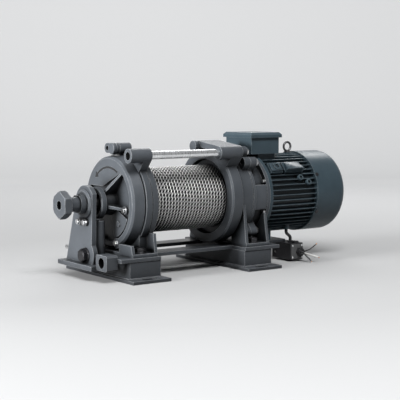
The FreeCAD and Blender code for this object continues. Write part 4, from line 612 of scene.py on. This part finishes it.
def hex_bolt(bm, kind, top, axis, turn):
    """Head with a turned chamfer on a bevelled washer; the top of the head is given."""
    flats, head, washer_radius, washer_thick = (MM * size for size in FASTENERS[kind])
    stand = Matrix.Translation(top) @ axis.to_track_quat("Z", "Y").to_matrix().to_4x4()
    stand = stand @ Matrix.Rotation(turn, 4, "Z")
    corner = flats / math.sqrt(3)
    chamfer = HEAD_CHAMFER * head
    bevel = WASHER_BEVEL * washer_thick

    def disc(segments, low_radius, high_radius, low, high):
        lift = Matrix.Translation((0, 0, (low + high) / 2))
        bmesh.ops.create_cone(bm, cap_ends=True, segments=segments, radius1=low_radius, radius2=high_radius,
                              depth=high - low, matrix=stand @ lift)

    disc(6, corner, corner, -head, -chamfer)
    disc(HEAD_STEPS, CHAMFER_FOOT * flats, CHAMFER_TOP * flats, -chamfer, 0)
    disc(WASHER_STEPS, washer_radius, washer_radius, -head - washer_thick, -head - bevel)
    disc(WASHER_STEPS, washer_radius, WASHER_TOP * washer_radius, -head - bevel, -head)


def bolts(node, finish, kind_of):
    """Detailed heads for every bolt of a CAD node."""
    bm = bmesh.new()
    for number, (low, high) in enumerate(solids_of(node)):
        kind, axis = kind_of(low, high)
        top = (low + high) / 2
        for side in range(3):
            if axis[side]:
                top[side] = high[side] if axis[side] > 0 else low[side]
        hex_bolt(bm, kind, top, axis, math.radians(BOLT_TURN * number))
    fitting(node + "_heads", bm, finish, [node])


def make_fasteners():
    """Heads of all bolts that show; the adapter has large joint bolts and small flange bolts."""
    def adapter_kind(low, high):
        return ("joint_bolt", RIGHT) if high.y - low.y > JOINT_BOLT_WIDTH else ("flange_bolt", LEFT)

    bolts("foot_bolts", BLACK_STEEL, lambda low, high: ("foot_bolt", UP))
    bolts("bracket_pivot_bolt", BLACK_STEEL, lambda low, high: ("pivot_bolt", LEFT))
    bolts("cover_bolts", ZINC, lambda low, high: ("cover_bolt", LEFT))
    bolts("adapter_bolts", ZINC, adapter_kind)


def joined(bm, part, stand):
    """Adds a small bmesh to another at a place."""
    part.transform(stand)
    mesh = bpy.data.meshes.new("joined_part")
    part.to_mesh(mesh)
    part.free()
    bm.from_mesh(mesh)
    bpy.data.meshes.remove(mesh)


# Welds of the base, in metres
WELD_LEG = 0.0032
WELD_RIPPLE = 0.0024
WELD_SIDES = 8
WELD_RIPPLE_DEPTH = 0.2


def weld(bm, start, end):
    """Fillet weld between two points: a round bead with one ripple for each drop of metal."""
    way = end - start
    ripples = int(way.length / WELD_RIPPLE)
    bead = bmesh.new()
    bmesh.ops.create_cone(bead, cap_ends=True, segments=WELD_SIDES, radius1=WELD_LEG, radius2=WELD_LEG,
                          depth=way.length)
    sides = [edge for edge in bead.edges if edge.calc_length() > 2 * WELD_LEG]
    bmesh.ops.subdivide_edges(bead, edges=sides, cuts=2 * ripples - 1, use_grid_fill=True)
    for vertex in bead.verts:
        wave = math.cos(math.pi * ripples * (vertex.co.z / way.length + 0.5))
        vertex.co.xy *= 1 - WELD_RIPPLE_DEPTH * abs(wave)
    joined(bm, bead, Matrix.Translation((start + end) / 2) @ way.to_track_quat("Z", "Y").to_matrix().to_4x4())


def make_welds():
    """A bead round the foot of each cross beam."""
    for node in ("gear_end_beam", "motor_end_beam"):
        bm = bmesh.new()
        low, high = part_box(node)
        corners = [Vector((low.x, low.y, low.z)), Vector((high.x, low.y, low.z)),
                   Vector((high.x, high.y, low.z)), Vector((low.x, high.y, low.z))]
        for start, end in zip(corners, corners[1:] + corners[:1]):
            weld(bm, start, end)
        piece(node + "_weld", finished(bm, node + "_weld"), BASE, "frame")


# Screws in the lid of the terminal box, in metres
LID_SCREW_RADIUS = 0.0042
LID_SCREW_TOP = 0.8 * LID_SCREW_RADIUS
LID_SCREW_HEAD = 0.0016
LID_SCREW_SUNK = 0.3 * LID_SCREW_HEAD
LID_SCREW_INSET = 0.015
LID_SCREW_STEPS = 20


def make_lid_screws():
    """Flat-topped screws in the corners of the lid, let into its top."""
    low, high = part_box("terminal_box_lid")
    bm = bmesh.new()
    for x in (low.x + LID_SCREW_INSET, high.x - LID_SCREW_INSET):
        for y in (low.y + LID_SCREW_INSET, high.y - LID_SCREW_INSET):
            bmesh.ops.create_cone(bm, cap_ends=True, segments=LID_SCREW_STEPS, radius1=LID_SCREW_RADIUS,
                                  radius2=LID_SCREW_TOP, depth=LID_SCREW_HEAD,
                                  matrix=Matrix.Translation((x, y, high.z - LID_SCREW_SUNK)))
    fitting("lid_screws", bm, ZINC)


# Small fittings, in millimetres from here to the stage
TURNED_STEPS = 28
TURNED_MERGE = 1e-4
BLOCK_SEGMENTS = 2


def radial(x, radius, degrees):
    """Matrix that stands, in millimetres, round the drum axis: X along it, Y round it, Z outward."""
    turn = math.radians(degrees)
    out = Vector((0, -math.cos(turn), math.sin(turn)))
    round_way = Vector((0, math.sin(turn), math.cos(turn)))
    stand = Matrix((RIGHT, round_way, out)).transposed().to_4x4()
    place = DRUM_AXIS + MM * (Vector((x, 0, 0)) + radius * out)
    return Matrix.Translation(place) @ stand @ Matrix.Scale(MM, 4)


def facing(x, y, z, way):
    """Matrix at a place, in millimetres, whose Z points a given way."""
    turn = way.to_track_quat("Z", "Y").to_matrix().to_4x4()
    return Matrix.Translation(MM * Vector((x, y, z))) @ turn @ Matrix.Scale(MM, 4)


def turned(bm, profile, stand, steps=TURNED_STEPS):
    """Turned shape from pairs of radius and height."""
    part = bmesh.new()
    corners = [part.verts.new((radius, 0, height)) for radius, height in profile]
    lines = [part.edges.new(pair) for pair in zip(corners, corners[1:])]
    bmesh.ops.spin(part, geom=corners + lines, cent=(0, 0, 0), axis=(0, 0, 1), angle=2 * math.pi,
                   steps=steps, use_merge=True)
    bmesh.ops.remove_doubles(part, verts=part.verts, dist=TURNED_MERGE)
    joined(bm, part, stand)


def block(bm, size, stand, round_edge, lean=0.0, narrow=0.0):
    """Cast block with soft edges; it may rise toward one long side and narrow toward the other."""
    part = bmesh.new()
    bmesh.ops.create_cube(part, size=1.0, matrix=Matrix.Diagonal((*size, 1)))
    for vertex in part.verts:
        if vertex.co.y < 0 < vertex.co.z:
            vertex.co.z += lean
        if vertex.co.y > 0:
            vertex.co.x -= math.copysign(narrow, vertex.co.x)
    bmesh.ops.bevel(part, geom=part.edges[:], offset=round_edge, offset_type="OFFSET", affect="EDGES",
                    segments=BLOCK_SEGMENTS, profile=0.5, material=-1)
    joined(bm, part, stand)


# Arrow on the gear cover: its face along the drum axis, its circle, and its ends in degrees
ARROW_FACE = -194.0
ARROW_RADIUS = 86.0
ARROW_WIDTH = 5.2
ARROW_FLOOR = 1.95
ARROW_PROUD = 0.12
ARROW_START = 61.0
ARROW_END = 128.0
ARROW_STEPS = 24
ARROW_HEAD = 17.0


def make_arrow_groove_shade():
    """Black sheet in the engraved arrow of the gear cover, a hair proud of the casting: painted shade in
    place of the shade of its groove.
    """
    bm = bmesh.new()
    deep = ARROW_PROUD + ARROW_FLOOR
    x = ARROW_FACE + (ARROW_FLOOR - ARROW_PROUD) / 2
    section = bmesh.new()
    bmesh.ops.create_grid(section, x_segments=1, y_segments=1, size=0.5,
                          matrix=Matrix.Diagonal((deep, ARROW_WIDTH, 1, 1)))
    section.transform(Matrix.Rotation(math.pi / 2, 4, "X"))
    joined(bm, section, Matrix.Translation((x, 0, ARROW_RADIUS)))
    bmesh.ops.spin(bm, geom=bm.verts[:] + bm.edges[:] + bm.faces[:], cent=(0, 0, 0), axis=(-1, 0, 0),
                   angle=math.radians(ARROW_END - ARROW_START), steps=ARROW_STEPS)
    bm.transform(Matrix.Rotation(math.radians(90 - ARROW_START), 4, "X"))
    bmesh.ops.holes_fill(bm, edges=bm.edges, sides=4)
    bm.transform(Matrix.Translation(DRUM_AXIS) @ Matrix.Scale(MM, 4))
    corner = ARROW_HEAD / math.sqrt(3)
    lying = Matrix(((0, 0, 1), (0, 1, 0), (-1, 0, 0))).to_4x4()
    head = radial(x, ARROW_RADIUS, ARROW_END) @ Matrix.Translation((0, ARROW_HEAD / 3, 0)) @ lying
    bmesh.ops.create_cone(bm, cap_ends=True, segments=3, radius1=corner, radius2=corner, depth=deep,
                          matrix=head)
    fitting("arrow_groove_shade", bm, ARROW_SHADE_PAINT)


# Fittings on the front of the motor: places along the drum axis, profiles of radius and height
PAD_ANGLE = 40.0
PAD_FACE = 113.0
LUG_SIZE = (36.0, 25.0, 7.0)
LUG_X = 264.0
LUG_RISE = 2.5
LUG_EDGE = 1.4
CUP_X = 266.0
CUP_PROFILE = ((11, 0), (11, 8), (10, 9), (6.4, 9), (5.6, 8.2), (5.6, 2), (0, 2))
PLATE_SIZE = (58.0, 28.0, 4.0)
PLATE_X = 322.0
PLATE_RISE = 1.0
PLATE_EDGE = 1.0
PLATE_LEAN = 11.0
PLATE_NARROW = 7.0
BOSS_FACE = 109.0
BOSS_PROFILE = ((8, -4), (8, 3), (7, 4), (4.6, 4), (3.8, 3.2), (3.8, 0.5), (0, 0.5))
BOSSES = ((341.0, 24.0), (366.0, 17.0))


def make_motor_fittings():
    """Lug with a cup, sloping plate and two ringed bosses on the front of the motor."""
    bm = bmesh.new()
    block(bm, LUG_SIZE, radial(LUG_X, PAD_FACE + LUG_RISE, PAD_ANGLE), LUG_EDGE)
    turned(bm, CUP_PROFILE, radial(CUP_X, PAD_FACE, PAD_ANGLE))
    block(bm, PLATE_SIZE, radial(PLATE_X, PAD_FACE + PLATE_RISE, PAD_ANGLE), PLATE_EDGE,
          PLATE_LEAN, PLATE_NARROW)
    for x, angle in BOSSES:
        turned(bm, BOSS_PROFILE, radial(x, BOSS_FACE, angle))
    fitting("motor_side_fittings", bm, MOTOR)


# Fittings of the junction box
COVER_INSET = 2.0
COVER_THICK = 2.6
COVER_EDGE = 0.9
GLAND_RING_BACKS = (0.2, 3.2)
GLAND_RING_PROFILE = ((8.4, 0), (10.2, 0.5), (10.2, 1.9), (8.4, 2.4), (8.4, 0))
BOX_SCREW_PROFILE = ((3.0, -1), (3.0, 0.8), (2.4, 1.5), (0, 1.7))
BOX_SCREW_STEPS = 16
BOX_SCREW_INSET = 6.0
BOX_SCREW_RISE = 1.3
SIDE_SCREW_BACK = 64.0
SIDE_SCREW_HEIGHT = 16.0


def make_box_fittings():
    """Front cover, screws and gland rings of the junction box."""
    low, high = (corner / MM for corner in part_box("junction_box"))
    middle = (low + high) / 2
    mouth = GLAND_MOUTH / MM
    cover = bmesh.new()
    cover_size = (high.x - low.x - 2 * COVER_INSET, high.z - low.z - 2 * COVER_INSET, COVER_THICK)
    block(cover, cover_size, facing(middle.x, low.y, middle.z, FRONT), COVER_EDGE)
    fitting("junction_box_cover", cover, GREY_MOULDING)
    rings = bmesh.new()
    for back in GLAND_RING_BACKS:
        turned(rings, GLAND_RING_PROFILE, facing(mouth.x, mouth.y + back, mouth.z, -FRONT))
    fitting("gland_rings", rings, PLASTIC)
    screws = bmesh.new()
    stands = [facing(x, low.y - BOX_SCREW_RISE, z, FRONT)
              for x in (low.x + BOX_SCREW_INSET, high.x - BOX_SCREW_INSET)
              for z in (low.z + BOX_SCREW_INSET, high.z - BOX_SCREW_INSET)]
    stands.append(facing(low.x, low.y + SIDE_SCREW_BACK, low.z + SIDE_SCREW_HEIGHT, LEFT))
    for stand in stands:
        turned(screws, BOX_SCREW_PROFILE, stand, BOX_SCREW_STEPS)
    fitting("junction_box_screws", screws, ZINC)


# Dowel in the far edge of the bearing bracket
PIN_PROFILE = ((0, -18), (5, -18), (5, 9), (4, 10), (0, 10))
PIN_INSET = 6.0
PIN_HEIGHT = 66.0


def make_bracket_pin():
    """Zinc dowel in the far edge of the bearing bracket."""
    low, high = (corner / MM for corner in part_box("bearing_bracket"))
    bm = bmesh.new()
    turned(bm, PIN_PROFILE, facing(low.x + PIN_INSET, high.y, PIN_HEIGHT, -FRONT))
    fitting("bracket_pin", bm, ZINC)


# Stage, in metres, degrees and watts: the paper, the sky by kind of ray, the lamps
PAPER = (0.55, 0.555, 0.56)
PAPER_ROUGHNESS = 0.9
PAPER_MOTTLE = 0.01
PAPER_MOTTLE_SCALE = 0.6
PAPER_BOUNCE = 0.30
PAPER_GLOW = 0.47
PAPER_GLOW_COLOUR = (0.98, 0.99, 1.0)
PAPER_GLOW_REACH = (0.7, 3.2)
PAPER_LEFT = -6.0
PAPER_WIDTH = 13.0
PAPER_FRONT = -5.0
PAPER_BACK = 3.2
PAPER_BEND = 1.4
PAPER_BEND_STEPS = 24
PAPER_WALL = 4.0
PAPER_TURN = -36.0
SKY_COLOUR = (0.97, 0.98, 1.0)
SKY_FILL = 0.03
SKY_LEVELS = (("Is Glossy Ray", 0.22), ("Is Transmission Ray", 0.74), ("Is Camera Ray", 0.74))
LAMPS = (
    ("left_softbox", (-3.6, -0.02, 0.68), (-0.1, 0, 0.18), (0.8, 0.7), 190),
    ("top_softbox", (-0.2, -0.2, 2.7), (0, 0, 0.1), (2.6, 1.8), 12),
    ("front_softbox", (-0.6, -1.9, 2.7), (0.1, 0, 0.2), (1.8, 1.0), 85),
    ("rear_strip", (1.6, 1.4, 1.7), (0.1, 0, 0.25), (1.8, 0.5), 22),
)


def pale_paper():
    """Seamless paper: pale to the camera and in the gloss, darker to the light that it throws back."""
    f = Finish("pale_paper", PAPER, PAPER_ROUGHNESS)
    away = f.tree.nodes.new("ShaderNodeVectorMath")
    away.operation = "LENGTH"
    f.feed(away.inputs[0], f.place)
    rays = f.tree.nodes.new("ShaderNodeLightPath").outputs
    seen = f.maths("MAXIMUM", rays["Is Camera Ray"], rays["Is Glossy Ray"])
    seen = f.maths("MAXIMUM", seen, rays["Is Transmission Ray"])
    glow = f.ramp(away.outputs["Value"], *PAPER_GLOW_REACH, end=PAPER_GLOW)
    tone = f.mix(f.noise(PAPER_MOTTLE_SCALE), toned(PAPER, 1 - PAPER_MOTTLE), toned(PAPER, 1 + PAPER_MOTTLE))
    tone = f.mix(seen, toned(PAPER, PAPER_BOUNCE), tone)
    f.shader.inputs["Emission Color"].default_value = (*PAPER_GLOW_COLOUR, 1)
    return f.set(Base_Color=tone, Emission_Strength=f.maths("MULTIPLY", glow, seen)).material


def corners_of(made):
    """Vertices among what a bmesh operator made."""
    return [item for item in made if isinstance(item, bmesh.types.BMVert)]


def studio_sweep():
    """Pale floor that curves up into a backdrop behind the winch."""
    bm = bmesh.new()
    front = bm.verts.new((PAPER_LEFT, PAPER_FRONT, 0))
    back = bm.verts.new((PAPER_LEFT, PAPER_BACK, 0))
    bm.edges.new((front, back))
    bend = bmesh.ops.spin(bm, geom=[back], cent=(PAPER_LEFT, PAPER_BACK, PAPER_BEND), axis=(1, 0, 0),
                          angle=math.radians(90), steps=PAPER_BEND_STEPS)
    wall = bmesh.ops.extrude_vert_indiv(bm, verts=corners_of(bend["geom_last"])[:1])
    bmesh.ops.translate(bm, verts=wall["verts"], vec=(0, 0, PAPER_WALL))
    sheet = bmesh.ops.extrude_edge_only(bm, edges=bm.edges[:])
    bmesh.ops.translate(bm, verts=corners_of(sheet["geom"]), vec=(PAPER_WIDTH, 0, 0))
    bm.transform(Matrix.Rotation(math.radians(PAPER_TURN), 4, "Z"))
    sweep = bpy.data.objects.new("studio_sweep", finished(bm, "studio_sweep"))
    bpy.context.scene.collection.objects.link(sweep)
    sweep.data.materials.append(pale_paper())


def lamp(name, place, aim, size, watts):
    """Soft rectangular lamp that looks at a point."""
    light = bpy.data.lights.new(name, "AREA")
    light.shape = "RECTANGLE"
    light.size, light.size_y = size
    light.energy = watts
    made = bpy.data.objects.new(name, light)
    made.location = place
    made.rotation_euler = (Vector(aim) - Vector(place)).to_track_quat("-Z", "Y").to_euler()
    bpy.context.scene.collection.objects.link(made)


def studio_light():
    """Faint sky, brighter where it is seen, and the lamps."""
    world = bpy.data.worlds.new("studio")
    bpy.context.scene.world = world
    world.use_nodes = True
    tree = world.node_tree
    sky = tree.nodes["Background"]
    sky.inputs["Color"].default_value = (*SKY_COLOUR, 1)
    rays = tree.nodes.new("ShaderNodeLightPath").outputs
    strength = None
    for ray, level in SKY_LEVELS:
        choice = tree.nodes.new("ShaderNodeMapRange")
        choice.inputs["To Min"].default_value = SKY_FILL
        choice.inputs["To Max"].default_value = level
        tree.links.new(rays[ray], choice.inputs["Value"])
        if strength:
            tree.links.new(strength, choice.inputs["To Min"])
        strength = choice.outputs["Result"]
    tree.links.new(strength, sky.inputs["Strength"])
    for settings in LAMPS:
        lamp(*settings)


def photo_camera():
    """Camera at the viewing angle of the photograph."""
    data = bpy.data.cameras.new("photo_camera")
    data.lens = CAMERA_LENS
    data.sensor_width = CAMERA_SENSOR
    camera = bpy.data.objects.new("photo_camera", data)
    camera.location = CAMERA_EYE
    camera.rotation_euler = (CAMERA_AIM - CAMERA_EYE).to_track_quat("-Z", "Y").to_euler()
    bpy.context.scene.collection.objects.link(camera)
    bpy.context.scene.camera = camera


photo_camera()
dress_frame()
make_leads()
make_rope()
make_fasteners()
make_welds()
make_lid_screws()
make_arrow_groove_shade()
make_motor_fittings()
make_box_fittings()
make_bracket_pin()
studio_sweep()
studio_light()
bpy.context.scene.view_settings.view_transform = "Standard"
